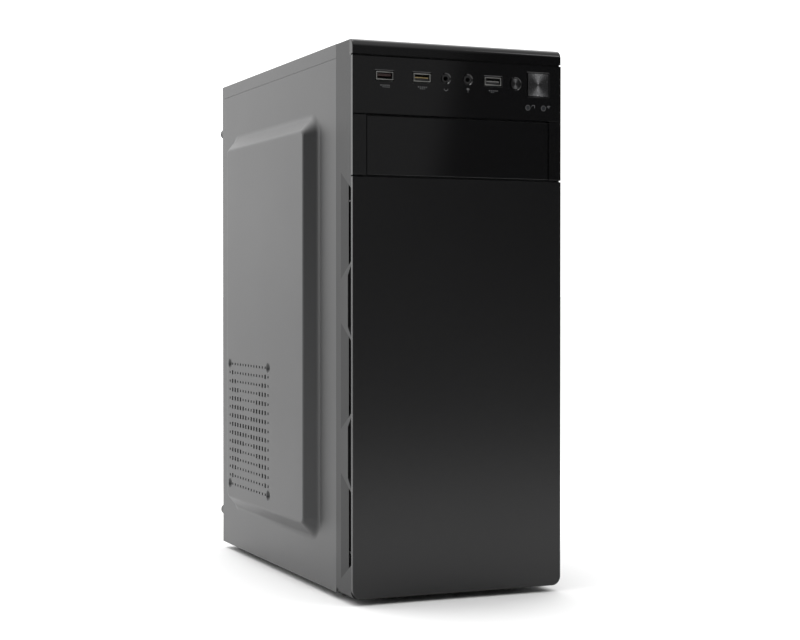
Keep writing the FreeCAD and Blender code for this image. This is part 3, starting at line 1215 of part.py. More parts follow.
# ---- Write every piece --------------------------------------------------------------------------
def nodes():
    left = side_panel(True)
    right = mirrored(side_panel(False))
    cpu_fan_x = BOARD_X - 38.9
    made = {
        "base_pan": base_pan(), "front_plate": front_plate(), "rear_plate": rear_plate(),
        "slot_rail": slot_rail(),
        "top_cover": top_cover(), "motherboard_tray": motherboard_tray(),
        "optical_drive_cage": optical_drive_cage(), "hard_drive_cage": hard_drive_cage(),
        "feet": feet(), "expansion_slot_covers": expansion_slot_covers(),
        "case_screws": case_screws(), "io_shield": io_shield(),
        "left_side_panel": left, "right_side_panel": right,
        "front_bezel": front_bezel(), "upper_fascia": upper_fascia(), "lower_fascia": lower_fascia(),
        "bay_cover": bay_cover(), "power_button": power_button(), "reset_button": reset_button(),
        "front_io_board": front_io_board(), "front_usb_ports": front_usb_ports(),
        "front_audio_jacks": front_audio_jacks(), "front_switches": front_switches(),
        "indicator_leds": indicator_leds(),
        "motherboard": motherboard(), "motherboard_standoffs": motherboard_standoffs(),
        "motherboard_screws": motherboard_screws(), "cpu_socket": cpu_socket(), "cpu": cpu(),
        "cpu_heatsink": cpu_heatsink(),
        "cpu_fan_frame": facing_board(fan_frame(REAR_FAN_SIZE, 19, 25, REAR_FAN_HOLES, 2.2), *CPU, cpu_fan_x),
        "cpu_fan_rotor": facing_board(fan_rotor(REAR_FAN_SIZE, 19, 25, 7), *CPU, cpu_fan_x),
        "memory_slots": memory_slots(), "memory_modules": memory_modules(),
        "expansion_sockets": expansion_sockets(), "rear_port_block": rear_port_block(),
        "chipset_heatsink": chipset_heatsink(), "coin_cell": coin_cell(),
        "board_sockets": board_sockets(), "regulator_parts": regulator_parts(),
        "rear_fan_frame": facing_rear(fan_frame(REAR_FAN_SIZE, 19, 25, REAR_FAN_HOLES, 2.2), *REAR_FAN,
                                      Y_INNER_REAR),
        "rear_fan_rotor": facing_rear(fan_rotor(REAR_FAN_SIZE, 19, 25, 7), *REAR_FAN, Y_INNER_REAR),
        "rear_fan_screws": rear_fan_screws(),
        "power_supply_case": power_supply_case(), "power_supply_cover": power_supply_cover(),
        "power_supply_board": power_supply_board(),
        "power_supply_fan_frame": facing_rear(fan_frame(80, 16, 20, 71.5, 2.2), *PSU_FAN,
                                              Y_INNER_REAR - SHEET),
        "power_supply_fan_rotor": facing_rear(fan_rotor(80, 16, 20, 7), *PSU_FAN, Y_INNER_REAR - SHEET),
        "power_supply_fan_guard": fan_guard(), "mains_inlet": mains_inlet(),
        "power_rocker": power_rocker(), "hard_drive": hard_drive(),
        "power_supply_harness": power_supply_harness(),
        "sata_data_cable": sata_data_cable(), "front_panel_cable": front_panel_cable(),
    }
    for s, side in ((-1, "left"), (1, "right")):
        for z, level in zip(KNOB_Z, ("lower", "upper")):
            made[f"{side}_{level}_thumbscrew"] = thumbscrew(s * KNOB_X, z)
    return made


def main():
    os.makedirs("parts", exist_ok=True)
    for name, shape in nodes().items():
        solids = shape.Solids
        if not solids or not shape.isValid() or any(s.Volume <= 0 for s in solids):
            raise ValueError(f"{name} is not a valid solid")
        whole = solids[0] if len(solids) == 1 else Part.makeCompound(solids)
        whole.exportStep(f"parts/{name}.step")


main()
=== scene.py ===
"""The look of a mid-size desktop computer tower, laid out as an add-on and run as a script.

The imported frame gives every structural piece. This file adds the finishes, the printed marks, the socket
inserts, the pins, labels and small components, and the floor, lights and camera. All sizes are in metres.
"""
import math
import random

import bmesh
import bpy
from mathutils import Matrix, Vector


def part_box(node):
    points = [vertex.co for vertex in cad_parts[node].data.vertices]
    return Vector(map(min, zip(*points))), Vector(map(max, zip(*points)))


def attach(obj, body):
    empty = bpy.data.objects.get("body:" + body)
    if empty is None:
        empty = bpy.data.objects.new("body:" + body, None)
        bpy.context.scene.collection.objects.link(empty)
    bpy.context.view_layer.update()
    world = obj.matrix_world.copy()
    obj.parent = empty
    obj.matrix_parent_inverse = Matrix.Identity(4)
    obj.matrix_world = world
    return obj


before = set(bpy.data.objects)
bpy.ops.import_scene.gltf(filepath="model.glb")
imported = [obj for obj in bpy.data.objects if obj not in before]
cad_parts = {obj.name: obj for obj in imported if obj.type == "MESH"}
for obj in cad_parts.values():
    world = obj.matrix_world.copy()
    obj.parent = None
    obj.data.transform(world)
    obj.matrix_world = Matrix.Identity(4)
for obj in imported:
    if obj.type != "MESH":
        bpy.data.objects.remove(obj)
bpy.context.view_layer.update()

bl_info = {
    "name": "Desktop Tower Finish",
    "version": (1, 0, 0),
    "blender": (4, 5, 0),
    "location": "View3D > Sidebar > Tower",
    "description": "Finishes, small parts and stage for a desktop computer tower",
    "category": "Object",
}

MM = 0.001


# ---- Settings ----
def size_prop(name, description, default, low=0.0, high=1.0):
    return bpy.props.FloatProperty(name=name, description=description, default=default, min=low, max=high,
                                   unit="LENGTH", precision=4)


def colour_prop(name, description, default):
    return bpy.props.FloatVectorProperty(name=name, description=description, default=default, size=3,
                                         min=0.0, max=1.0, subtype="COLOR")


def amount_prop(name, description, default):
    return bpy.props.FloatProperty(name=name, description=description, default=default, min=0.0, max=1.0,
                                   subtype="FACTOR")


class TowerFinish(bpy.types.PropertyGroup):
    """Colours and surface values of the case"""
    panel_colour: colour_prop("Panel Colour", "Powder-coated side panels and top cover",
                              (0.0085, 0.0088, 0.0092))
    panel_rough: amount_prop("Panel Roughness", "Satin of the powder coat", 0.37)
    bezel_colour: colour_prop("Bezel Colour", "Textured plastic of the front's sides",
                              (0.0085, 0.0085, 0.009))
    bezel_rough: amount_prop("Bezel Roughness", "Texture of the front's sides", 0.45)
    gloss_colour: colour_prop("Gloss Colour", "Polished upper front", (0.0035, 0.0035, 0.0038))
    satin_colour: colour_prop("Satin Colour", "Lower front plate", (0.0045, 0.0045, 0.0048))
    satin_rough: amount_prop("Satin Roughness", "Sheen of the lower front plate", 0.21)
    metal_colour: colour_prop("Button Metal", "Plated buttons", (0.86, 0.86, 0.88))
    steel_colour: colour_prop("Steel Colour", "Zinc-coated sheet inside the case", (0.46, 0.48, 0.49))
    board_colour: colour_prop("Board Colour", "Solder mask of the circuit boards", (0.008, 0.045, 0.022))
    inner_colour: colour_prop("Inner Colour", "Painted steel of the chassis", (0.012, 0.012, 0.0125))
    print_colour: colour_prop("Print Colour", "Printed marks on the front", (0.13, 0.132, 0.135))


class TowerDetail(bpy.types.PropertyGroup):
    """Sizes of the small parts"""
    mark_depth: size_prop("Mark Depth", "Thickness of the printed marks", 0.00008, 0.0, 0.001)
    mark_line: size_prop("Mark Line", "Line width of the printed marks", 0.00045, 0.0, 0.002)
    tongue_depth: size_prop("Tongue Thickness", "Thickness of a socket's contact tongue", 0.0017,
                            0.001, 0.004)
    pin_width: size_prop("Inlet Pin Width", "Width of the mains inlet's pins", 0.004, 0.001, 0.008)


class TowerStage(bpy.types.PropertyGroup):
    """Camera, lights and floor"""
    lens: bpy.props.FloatProperty(name="Lens", description="Focal length", default=76.23, min=10, max=300,
                                  unit="CAMERA")
    camera_place: bpy.props.FloatVectorProperty(name="Camera Place", description="Where the camera stands",
                                                default=(-0.5353, -1.3226, 0.2286), size=3,
                                                subtype="TRANSLATION", unit="LENGTH")
    camera_yaw: bpy.props.FloatProperty(name="Camera Yaw", description="Turn of the camera to its right",
                                        default=math.radians(22.85), unit="ROTATION")
    camera_pitch: bpy.props.FloatProperty(name="Camera Pitch", description="Tilt of the camera",
                                          default=math.radians(-0.831), unit="ROTATION")
    floor_colour: colour_prop("Floor Colour", "Pale floor", (0.8, 0.8, 0.8))
    floor_fade: size_prop("Floor Fade", "How far ahead of the tower its reflection starts to darken", 0.4)
    rear_start: bpy.props.FloatProperty(name="Rear Glow Start", description="Where the rear glow begins",
                                        default=0.0, min=-1.0, max=1.0)
    rear_level: bpy.props.FloatProperty(name="Rear Glow", description="Brightness behind the tower",
                                        default=1.6)
    top_level: bpy.props.FloatProperty(name="Top Glow", description="Brightness overhead", default=1.3)
    side_level: bpy.props.FloatProperty(name="Side Glow", description="Brightness left of the front",
                                        default=0.26)
    front_level: bpy.props.FloatProperty(name="Front Glow", description="Brightness right of the front",
                                         default=0.055)
    panel_edge: bpy.props.FloatProperty(name="Glow Edge", description="Direction where the side glow ends",
                                        default=math.radians(23.3), unit="ROTATION")


def finish():
    return bpy.context.scene.tower_finish


def detail():
    return bpy.context.scene.tower_detail


# ---- Shared surface effects ----
def new_group(name, inputs, outputs):
    """A shader node group with named sockets, and a function that links inside it."""
    tree = bpy.data.node_groups.new(name, "ShaderNodeTree")
    for label, kind, value in inputs:
        socket = tree.interface.new_socket(name=label, in_out="INPUT", socket_type=kind)
        if value is not None:
            socket.default_value = value
    for label, kind in outputs:
        tree.interface.new_socket(name=label, in_out="OUTPUT", socket_type=kind)
    return tree, tree.nodes.new("NodeGroupInput"), tree.nodes.new("NodeGroupOutput")


def math_node(tree, kind, a, b=None, c=None, clamp=False):
    node = tree.nodes.new("ShaderNodeMath")
    node.operation = kind
    node.use_clamp = clamp
    for slot, value in enumerate((a, b, c)):
        if value is None:
            continue
        if isinstance(value, (int, float)):
            node.inputs[slot].default_value = value
        else:
            tree.links.new(value, node.inputs[slot])
    return node.outputs[0]


def noise(tree, vector, scale, detail_level=2.0, rough=0.5):
    node = tree.nodes.new("ShaderNodeTexNoise")
    node.inputs["Detail"].default_value = detail_level
    node.inputs["Roughness"].default_value = rough
    if isinstance(scale, (int, float)):
        node.inputs["Scale"].default_value = scale
    else:
        tree.links.new(scale, node.inputs["Scale"])
    tree.links.new(vector, node.inputs["Vector"])
    return node.outputs["Fac"]


def sweep(tree, value, low, high, first, last):
    """A smooth change from first to last while the value goes from low to high."""
    node = tree.nodes.new("ShaderNodeMapRange")
    node.interpolation_type = "SMOOTHSTEP"
    for label, number in (("From Min", low), ("From Max", high), ("To Min", first), ("To Max", last)):
        node.inputs[label].default_value = number
    tree.links.new(value, node.inputs["Value"])
    return node.outputs["Result"]


def mixed(tree, factor, first, last):
    """A colour between two. Each may be a constant or the output of another node."""
    mix = tree.nodes.new("ShaderNodeMix")
    mix.data_type = "RGBA"
    for label, value in (("Factor", factor), ("A", first), ("B", last)):
        if isinstance(value, tuple):
            mix.inputs[label].default_value = (*value, 1.0)
        elif isinstance(value, float):
            mix.inputs[label].default_value = value
        else:
            tree.links.new(value, mix.inputs[label])
    return mix.outputs["Result"]


def split(tree, vector):
    """The X, Y and Z outputs of a vector."""
    parts = tree.nodes.new("ShaderNodeSeparateXYZ")
    tree.links.new(vector, parts.inputs["Vector"])
    return parts.outputs


def scaled(tree, colour, factor):
    """A colour multiplied by a number."""
    node = tree.nodes.new("ShaderNodeVectorMath")
    node.operation = "SCALE"
    tree.links.new(colour, node.inputs[0])
    tree.links.new(factor, node.inputs["Scale"])
    return node.outputs["Vector"]


def tint(tree, colour, factor, low, high):
    """A colour made darker or lighter by a factor that varies from low to high."""
    scale = tree.nodes.new("ShaderNodeMapRange")
    scale.inputs["To Min"].default_value = low
    scale.inputs["To Max"].default_value = high
    tree.links.new(factor, scale.inputs["Value"])
    return scaled(tree, colour, scale.outputs["Result"])


def build_coat_grain():
    """Fine orange peel of a powder coat or a moulded texture, with faint handling marks."""
    tree, given, out = new_group(
        "Coat Grain",
        [("Vector", "NodeSocketVector", None), ("Color", "NodeSocketColor", (0.02, 0.02, 0.02, 1)),
         ("Roughness", "NodeSocketFloat", 0.4), ("Grain Scale", "NodeSocketFloat", 2600.0),
         ("Smear", "NodeSocketFloat", 0.05)],
        [("Color", "NodeSocketColor"), ("Roughness", "NodeSocketFloat"), ("Height", "NodeSocketFloat")])
    vector = given.outputs["Vector"]
    fine = noise(tree, vector, given.outputs["Grain Scale"], 3.0, 0.6)
    cells = tree.nodes.new("ShaderNodeTexVoronoi")
    tree.links.new(vector, cells.inputs["Vector"])
    tree.links.new(given.outputs["Grain Scale"], cells.inputs["Scale"])
    smear = noise(tree, vector, 9.0, 4.0, 0.6)
    patch = noise(tree, vector, 3.0, 2.0, 0.5)
    height = math_node(tree, "ADD", math_node(tree, "MULTIPLY", cells.outputs["Distance"], 0.6), fine)
    tree.links.new(height, out.inputs["Height"])
    lean = math_node(tree, "MULTIPLY", math_node(tree, "SUBTRACT", smear, 0.5), given.outputs["Smear"])
    rough = math_node(tree, "ADD", given.outputs["Roughness"], lean)
    grain = math_node(tree, "MULTIPLY", math_node(tree, "SUBTRACT", fine, 0.5), 0.06)
    tree.links.new(math_node(tree, "ADD", rough, grain, clamp=True), out.inputs["Roughness"])
    shade = math_node(tree, "MULTIPLY", math_node(tree, "ADD", fine, patch), 0.5)
    tree.links.new(tint(tree, given.outputs["Color"], shade, 0.86, 1.14), out.inputs["Color"])
    return tree


def build_fine_scratches():
    """Hair scratches and dust specks on a polished surface."""
    tree, given, out = new_group(
        "Fine Scratches",
        [("Vector", "NodeSocketVector", None), ("Roughness", "NodeSocketFloat", 0.05),
         ("Amount", "NodeSocketFloat", 0.5)],
        [("Roughness", "NodeSocketFloat"), ("Height", "NodeSocketFloat"), ("Dust", "NodeSocketFloat")])
    total = None
    for angle, stretch in ((0.3, 90.0), (-0.9, 70.0), (1.4, 110.0)):
        place = tree.nodes.new("ShaderNodeMapping")
        place.inputs["Rotation"].default_value = (0.0, angle, 0.0)
        place.inputs["Scale"].default_value = (6.0, 6.0, stretch * 12)
        tree.links.new(given.outputs["Vector"], place.inputs["Vector"])
        line = noise(tree, place.outputs["Vector"], 1.0, 1.0, 0.4)
        line = math_node(tree, "GREATER_THAN", line, 0.735)
        total = line if total is None else math_node(tree, "MAXIMUM", total, line)
    speck = noise(tree, given.outputs["Vector"], 900.0, 2.0, 0.6)
    speck = math_node(tree, "GREATER_THAN", speck, 0.74)
    lift = math_node(tree, "MULTIPLY", total, given.outputs["Amount"])
    add = math_node(tree, "MULTIPLY_ADD", lift, 0.05, given.outputs["Roughness"])
    add = math_node(tree, "MULTIPLY_ADD", speck, 0.12, add, clamp=True)
    tree.links.new(add, out.inputs["Roughness"])
    tree.links.new(math_node(tree, "MULTIPLY", lift, -1.0), out.inputs["Height"])
    tree.links.new(math_node(tree, "MULTIPLY", speck, given.outputs["Amount"]), out.inputs["Dust"])
    return tree


def build_brushed_rays_with_painted_highlight():
    """Brushing that runs out from a centre, as on a spun button, and a painted highlight factor: high in two
    lobes above and below the centre, low at the sides.
    """
    tree, given, out = new_group(
        "Brushed Rays With Painted Highlight",
        [("Vector", "NodeSocketVector", None), ("Roughness", "NodeSocketFloat", 0.25),
         ("Rays", "NodeSocketFloat", 60.0)],
        [("Roughness", "NodeSocketFloat"), ("Height", "NodeSocketFloat"), ("Painted Highlight", "NodeSocketFloat")])
    parts = split(tree, given.outputs["Vector"])
    angle = math_node(tree, "ARCTAN2", parts["Z"], parts["X"])
    turn = math_node(tree, "MULTIPLY", angle, given.outputs["Rays"])
    reach = math_node(tree, "MULTIPLY", parts["X"], parts["X"])
    reach = math_node(tree, "MULTIPLY_ADD", parts["Z"], parts["Z"], reach)
    reach = math_node(tree, "MULTIPLY", math_node(tree, "SQRT", reach), 400.0)
    join = tree.nodes.new("ShaderNodeCombineXYZ")
    tree.links.new(turn, join.inputs["X"])
    tree.links.new(reach, join.inputs["Y"])
    streak = noise(tree, join.outputs["Vector"], 1.0, 3.0, 0.7)
    rough = math_node(tree, "MULTIPLY", math_node(tree, "SUBTRACT", streak, 0.5), 0.35)
    tree.links.new(math_node(tree, "ADD", given.outputs["Roughness"], rough, clamp=True),
                   out.inputs["Roughness"])
    tree.links.new(streak, out.inputs["Height"])
    # Painted highlight: two bright lobes of reflection above and below the centre, with painted shade at the
    # sides, worked out from the angle alone.
    fan = math_node(tree, "COSINE", math_node(tree, "MULTIPLY", angle, 2.0))
    fan = math_node(tree, "MULTIPLY_ADD", fan, -0.5, 0.5)
    tree.links.new(math_node(tree, "POWER", fan, 3.0), out.inputs["Painted Highlight"])
    return tree


def build_rolled_sheet():
    """Rolling lines and spangle of a zinc-coated sheet."""
    tree, given, out = new_group(
        "Rolled Sheet",
        [("Vector", "NodeSocketVector", None), ("Color", "NodeSocketColor", (0.45, 0.47, 0.48, 1)),
         ("Roughness", "NodeSocketFloat", 0.35), ("Spangle", "NodeSocketFloat", 0.3)],
        [("Color", "NodeSocketColor"), ("Roughness", "NodeSocketFloat"), ("Height", "NodeSocketFloat")])
    vector = given.outputs["Vector"]
    flakes = tree.nodes.new("ShaderNodeTexVoronoi")
    flakes.inputs["Scale"].default_value = 110.0
    tree.links.new(vector, flakes.inputs["Vector"])
    tone = tree.nodes.new("ShaderNodeSeparateColor")
    tree.links.new(flakes.outputs["Color"], tone.inputs["Color"])
    stretch = tree.nodes.new("ShaderNodeMapping")
    stretch.inputs["Scale"].default_value = (900.0, 40.0, 900.0)
    tree.links.new(vector, stretch.inputs["Vector"])
    lines = noise(tree, stretch.outputs["Vector"], 1.0, 2.0, 0.5)
    shade = math_node(tree, "MULTIPLY", tone.outputs["Red"], given.outputs["Spangle"])
    shade = math_node(tree, "MULTIPLY_ADD", lines, 0.3, shade)
    tree.links.new(tint(tree, given.outputs["Color"], shade, 0.8, 1.2), out.inputs["Color"])
    rough = math_node(tree, "MULTIPLY_ADD", tone.outputs["Green"], 0.12, given.outputs["Roughness"])
    tree.links.new(math_node(tree, "MULTIPLY_ADD", lines, 0.06, rough, clamp=True), out.inputs["Roughness"])
    tree.links.new(lines, out.inputs["Height"])
    return tree


TRACKS_PER_METRE = 620.0


def build_copper_tracks():
    """Raised tracks and vias under a board's solder mask."""
    tree, given, out = new_group(
        "Copper Tracks",
        [("Vector", "NodeSocketVector", None), ("Color", "NodeSocketColor", (0.01, 0.05, 0.02, 1))],
        [("Color", "NodeSocketColor"), ("Roughness", "NodeSocketFloat"), ("Height", "NodeSocketFloat")])
    vector = given.outputs["Vector"]
    parts = split(tree, vector)
    area = noise(tree, vector, 22.0, 1.0, 0.4)
    along = math_node(tree, "FRACT", math_node(tree, "MULTIPLY", parts["Y"], TRACKS_PER_METRE))
    across = math_node(tree, "FRACT", math_node(tree, "MULTIPLY", parts["Z"], TRACKS_PER_METRE))
    lines_y = math_node(tree, "GREATER_THAN", along, 0.58)
    lines_z = math_node(tree, "GREATER_THAN", across, 0.58)
    choose = math_node(tree, "GREATER_THAN", area, 0.5)
    other = math_node(tree, "SUBTRACT", 1.0, choose)
    tracks = math_node(tree, "MULTIPLY", lines_y, choose)
    tracks = math_node(tree, "MULTIPLY_ADD", lines_z, other, tracks)
    spread = noise(tree, vector, 60.0, 2.0, 0.5)
    tracks = math_node(tree, "MULTIPLY", tracks, math_node(tree, "GREATER_THAN", spread, 0.47))
    dots = tree.nodes.new("ShaderNodeTexVoronoi")
    dots.inputs["Scale"].default_value = 210.0
    tree.links.new(vector, dots.inputs["Vector"])
    via = math_node(tree, "LESS_THAN", dots.outputs["Distance"], 0.11)
    base = tint(tree, given.outputs["Color"], tracks, 1.0, 1.9)
    tree.links.new(mixed(tree, via, base, (0.42, 0.40, 0.33)), out.inputs["Color"])
    rough = math_node(tree, "MULTIPLY_ADD", spread, 0.12, 0.28)
    tree.links.new(rough, out.inputs["Roughness"])
    tree.links.new(math_node(tree, "ADD", tracks, via), out.inputs["Height"])
    return tree


GROUPS = {}


def group(name):
    """The shared effect of that name, built the first time it is asked for."""
    makers = {"Coat Grain": build_coat_grain, "Fine Scratches": build_fine_scratches,
              "Brushed Rays With Painted Highlight": build_brushed_rays_with_painted_highlight, "Rolled Sheet": build_rolled_sheet,
              "Copper Tracks": build_copper_tracks}
    if name not in GROUPS:
        GROUPS[name] = makers[name]()
    return GROUPS[name]


# ---- Materials ----
def shader(name, **values):
    """A material whose Principled sockets hold the given constants."""
    mat = bpy.data.materials.new(name)
    mat.use_nodes = True
    bsdf = mat.node_tree.nodes["Principled BSDF"]
    for socket, value in values.items():
        label = socket.replace("_", " ")
        bsdf.inputs[label].default_value = (*value, 1.0) if isinstance(value, tuple) else value
    return mat, mat.node_tree, bsdf


def place(tree, centre=(0.0, 0.0, 0.0)):
    """Object coordinates measured from a centre."""
    coords = tree.nodes.new("ShaderNodeTexCoord")
    if not any(centre):
        return coords.outputs["Object"]
    shift = tree.nodes.new("ShaderNodeMapping")
    shift.inputs["Location"].default_value = tuple(-c for c in centre)
    tree.links.new(coords.outputs["Object"], shift.inputs["Vector"])
    return shift.outputs["Vector"]


def add_group(tree, name, vector, **values):
    node = tree.nodes.new("ShaderNodeGroup")
    node.node_tree = group(name)
    tree.links.new(vector, node.inputs["Vector"])
    for socket, value in values.items():
        label = socket.replace("_", " ")
        node.inputs[label].default_value = (*value, 1.0) if isinstance(value, tuple) else value
    return node


def bump(tree, bsdf, height, depth, strength=1.0):
    node = tree.nodes.new("ShaderNodeBump")
    node.inputs["Distance"].default_value = depth
    node.inputs["Strength"].default_value = strength
    tree.links.new(height, node.inputs["Height"])
    tree.links.new(node.outputs["Normal"], bsdf.inputs["Normal"])


def feed(tree, bsdf, node, depth, strength):
    """Feeds what an effect gives to the shader."""
    for label, socket in (("Color", "Base Color"), ("Roughness", "Roughness")):
        if label in node.outputs:
            tree.links.new(node.outputs[label], bsdf.inputs[socket])
    bump(tree, bsdf, node.outputs["Height"], depth, strength)


def grained(name, colour, rough, grain=2600.0, depth=0.00001, smear=0.05, strength=0.5, **values):
    """Powder coat or textured plastic."""
    mat, tree, bsdf = shader(name, **values)
    node = add_group(tree, "Coat Grain", place(tree), Color=tuple(colour), Roughness=rough,
                     Grain_Scale=grain, Smear=smear)
    feed(tree, bsdf, node, depth, strength)
    return mat


def polished(name, colour, rough, amount=0.5, **values):
    """Gloss plastic with hair scratches and a few specks of dust."""
    mat, tree, bsdf = shader(name, **values)
    node = add_group(tree, "Fine Scratches", place(tree), Roughness=rough, Amount=amount)
    dust = math_node(tree, "MULTIPLY", node.outputs["Dust"], 0.25)
    tree.links.new(mixed(tree, dust, colour, (0.12, 0.12, 0.12)), bsdf.inputs["Base Color"])
    feed(tree, bsdf, node, 0.000002, 0.3)
    return mat


def rolled(name, colour, rough=0.34, spangle=0.3, **values):
    """Bare or zinc-coated sheet metal."""
    mat, tree, bsdf = shader(name, Metallic=1.0, **values)
    node = add_group(tree, "Rolled Sheet", place(tree), Color=tuple(colour), Roughness=rough, Spangle=spangle)
    feed(tree, bsdf, node, 0.000004, 0.3)
    return mat


def spun(name, colour, centre, rays=60.0, rough=0.22):
    """Metal with brushing that runs out from its centre and a painted highlight: its colour is full in two
    lobes above and below the centre and painted shade at the sides.
    """
    mat, tree, bsdf = shader(name, Metallic=1.0)
    node = add_group(tree, "Brushed Rays With Painted Highlight", place(tree, centre), Roughness=rough, Rays=rays)
    # Painted shade at the sides of the cap, mixed up to the full colour in the painted highlight lobes.
    painted_side_shade = tuple(c * 0.14 for c in colour)
    tree.links.new(mixed(tree, node.outputs["Painted Highlight"], painted_side_shade, colour), bsdf.inputs["Base Color"])
    feed(tree, bsdf, node, 0.00002, 0.6)
    return mat


def circuit(name, colour):
    """Solder-masked circuit board."""
    mat, tree, bsdf = shader(name, Coat_Weight=0.4, Coat_Roughness=0.2)
    node = add_group(tree, "Copper Tracks", place(tree), Color=tuple(colour))
    feed(tree, bsdf, node, 0.00003, 0.5)
    return mat


def moulded_front(name, colour, rough, gloss):
    """Textured plastic whose top strip is polished on the front."""
    mat, tree, bsdf = shader(name, Specular_IOR_Level=0.33)
    vector = place(tree)
    node = add_group(tree, "Coat Grain", vector, Color=tuple(colour), Roughness=rough, Grain_Scale=2200.0,
                     Smear=0.04)
    parts = split(tree, vector)
    low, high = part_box("upper_fascia")
    above = math_node(tree, "GREATER_THAN", parts["Z"], high[2] + 0.0002)
    ahead = math_node(tree, "LESS_THAN", parts["Y"], low[1] + 0.0066)
    strip = math_node(tree, "MULTIPLY", above, ahead)
    tree.links.new(mixed(tree, strip, node.outputs["Color"], tuple(gloss)), bsdf.inputs["Base Color"])
    plain = math_node(tree, "SUBTRACT", 1.0, strip)
    coarse = math_node(tree, "MULTIPLY", node.outputs["Roughness"], plain)
    tree.links.new(math_node(tree, "MULTIPLY_ADD", strip, 0.07, coarse), bsdf.inputs["Roughness"])
    bump(tree, bsdf, math_node(tree, "MULTIPLY", node.outputs["Height"], plain), 0.00001, 0.5)
    return mat


def ruled(name):
    """Paper with the faint lines of an unprinted rating label."""
    mat, tree, bsdf = shader(name, Roughness=0.55)
    vector = place(tree)
    rows = math_node(tree, "FRACT", math_node(tree, "MULTIPLY", split(tree, vector)["Z"], 150.0))
    rows = math_node(tree, "GREATER_THAN", rows, 0.9)
    paper = noise(tree, vector, 900.0, 2.0, 0.5)
    factor = math_node(tree, "MULTIPLY_ADD", rows, 0.6, math_node(tree, "MULTIPLY", paper, 0.2))
    tree.links.new(mixed(tree, factor, (0.4, 0.4, 0.385), (0.12, 0.13, 0.15)), bsdf.inputs["Base Color"])
    bump(tree, bsdf, paper, 0.00001, 0.3)
    return mat


def box_centre(node):
    low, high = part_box(node)
    return tuple((a + b) / 2 for a, b in zip(low, high))


def make_finishes():
    """Every finish of the tower, by name."""
    f = finish()
    return {
        "panel": grained("Satin powder coat", f.panel_colour, f.panel_rough, 1500.0, 0.000012, 0.04,
                         Specular_IOR_Level=0.55),
        "bezel": moulded_front("Textured bezel plastic", f.bezel_colour, f.bezel_rough, f.gloss_colour),
        "inner": grained("Painted chassis steel", f.inner_colour, 0.4, 1500.0, 0.00001, 0.05),
        "port_shell": rolled("Port shell", (0.5, 0.5, 0.48), 0.26, 0.1),
        "dark_nickel": rolled("Dark nickel", (0.10, 0.10, 0.10), 0.2, 0.1),
        "gloss": polished("Piano gloss plastic", tuple(f.gloss_colour), 0.045, 0.5),
        "satin": grained("Satin front plastic", f.satin_colour, f.satin_rough, 3000.0, 0.000004, 0.05,
                         strength=0.35, Specular_IOR_Level=0.4),
        # Both button caps carry a painted highlight and painted shade in their colour.
        "power": spun("Radially brushed cap with painted highlight", tuple(f.metal_colour), box_centre("power_button"), 26.0),
        "reset": spun("Spun round cap with painted highlight", tuple(f.metal_colour), box_centre("reset_button"), 8.0, 0.12),
        "zinc": rolled("Zinc-coated sheet", f.steel_colour, 0.36),
        "supply": rolled("Power supply sheet", (0.36, 0.37, 0.38), 0.32, 0.1),
        "tin": rolled("Tinned shell", (0.62, 0.62, 0.6), 0.24, 0.1),
        "screw": rolled("Plated screw", (0.55, 0.55, 0.53), 0.3, 0.1),
        "black_screw": grained("Blackened screw", (0.012, 0.012, 0.012), 0.34, 3000.0, 0.000005,
                               Metallic=0.6),
        "board": circuit("Main board mask", f.board_colour),
        "small_board": circuit("Small board mask", (0.012, 0.05, 0.03)),
        "socket": grained("Moulded socket plastic", (0.012, 0.012, 0.013), 0.5, 3500.0, 0.000008),
        "slot": grained("Slot plastic", (0.014, 0.014, 0.02), 0.42, 3500.0, 0.000006),
        "heat_sink": rolled("Extruded aluminium", (0.62, 0.63, 0.65), 0.32, 0.05),
        "fan": grained("Fan plastic", (0.011, 0.011, 0.011), 0.45, 3000.0, 0.000008),
        "cable": grained("Cable sleeve", (0.015, 0.015, 0.015), 0.55, 1400.0, 0.00006, 0.1, 1.0),
        "drive": rolled("Cast drive body", (0.5, 0.51, 0.52), 0.42, 0.2),
        "rubber": grained("Foot rubber", (0.018, 0.018, 0.018), 0.7, 1800.0, 0.00003, 0.08),
        "print": grained("Printed mark", f.print_colour, 0.5, 4000.0, 0.000004),
        "chip": grained("Chip resin", (0.012, 0.012, 0.013), 0.45, 3500.0, 0.000006),
        "contact": rolled("Gilt contact", (0.75, 0.58, 0.28), 0.25, 0.05),
        "label": grained("Paper label", (0.34, 0.34, 0.33), 0.6, 1500.0, 0.00001, 0.1),
        "shield": rolled("Port shield", (0.4, 0.41, 0.41), 0.34, 0.15),
        "lens": polished("Smoked light pipe", (0.03, 0.032, 0.035), 0.1, 0.2),
        "blue_insert": grained("Blue socket tongue", (0.02, 0.05, 0.32), 0.4, 3000.0, 0.000004),
        "pale_insert": grained("Pale socket tongue", (0.45, 0.43, 0.42), 0.4, 3000.0, 0.000004),
        "brown_insert": grained("Brown socket tongue", (0.035, 0.018, 0.017), 0.4, 3000.0, 0.000004),
        "ruled_label": ruled("Ruled paper label"),
        "green_ring": grained("Green jack ring", (0.10, 0.34, 0.08), 0.4, 3000.0, 0.000004),
        "pink_ring": grained("Pink jack ring", (0.5, 0.12, 0.2), 0.4, 3000.0, 0.000004),
    }


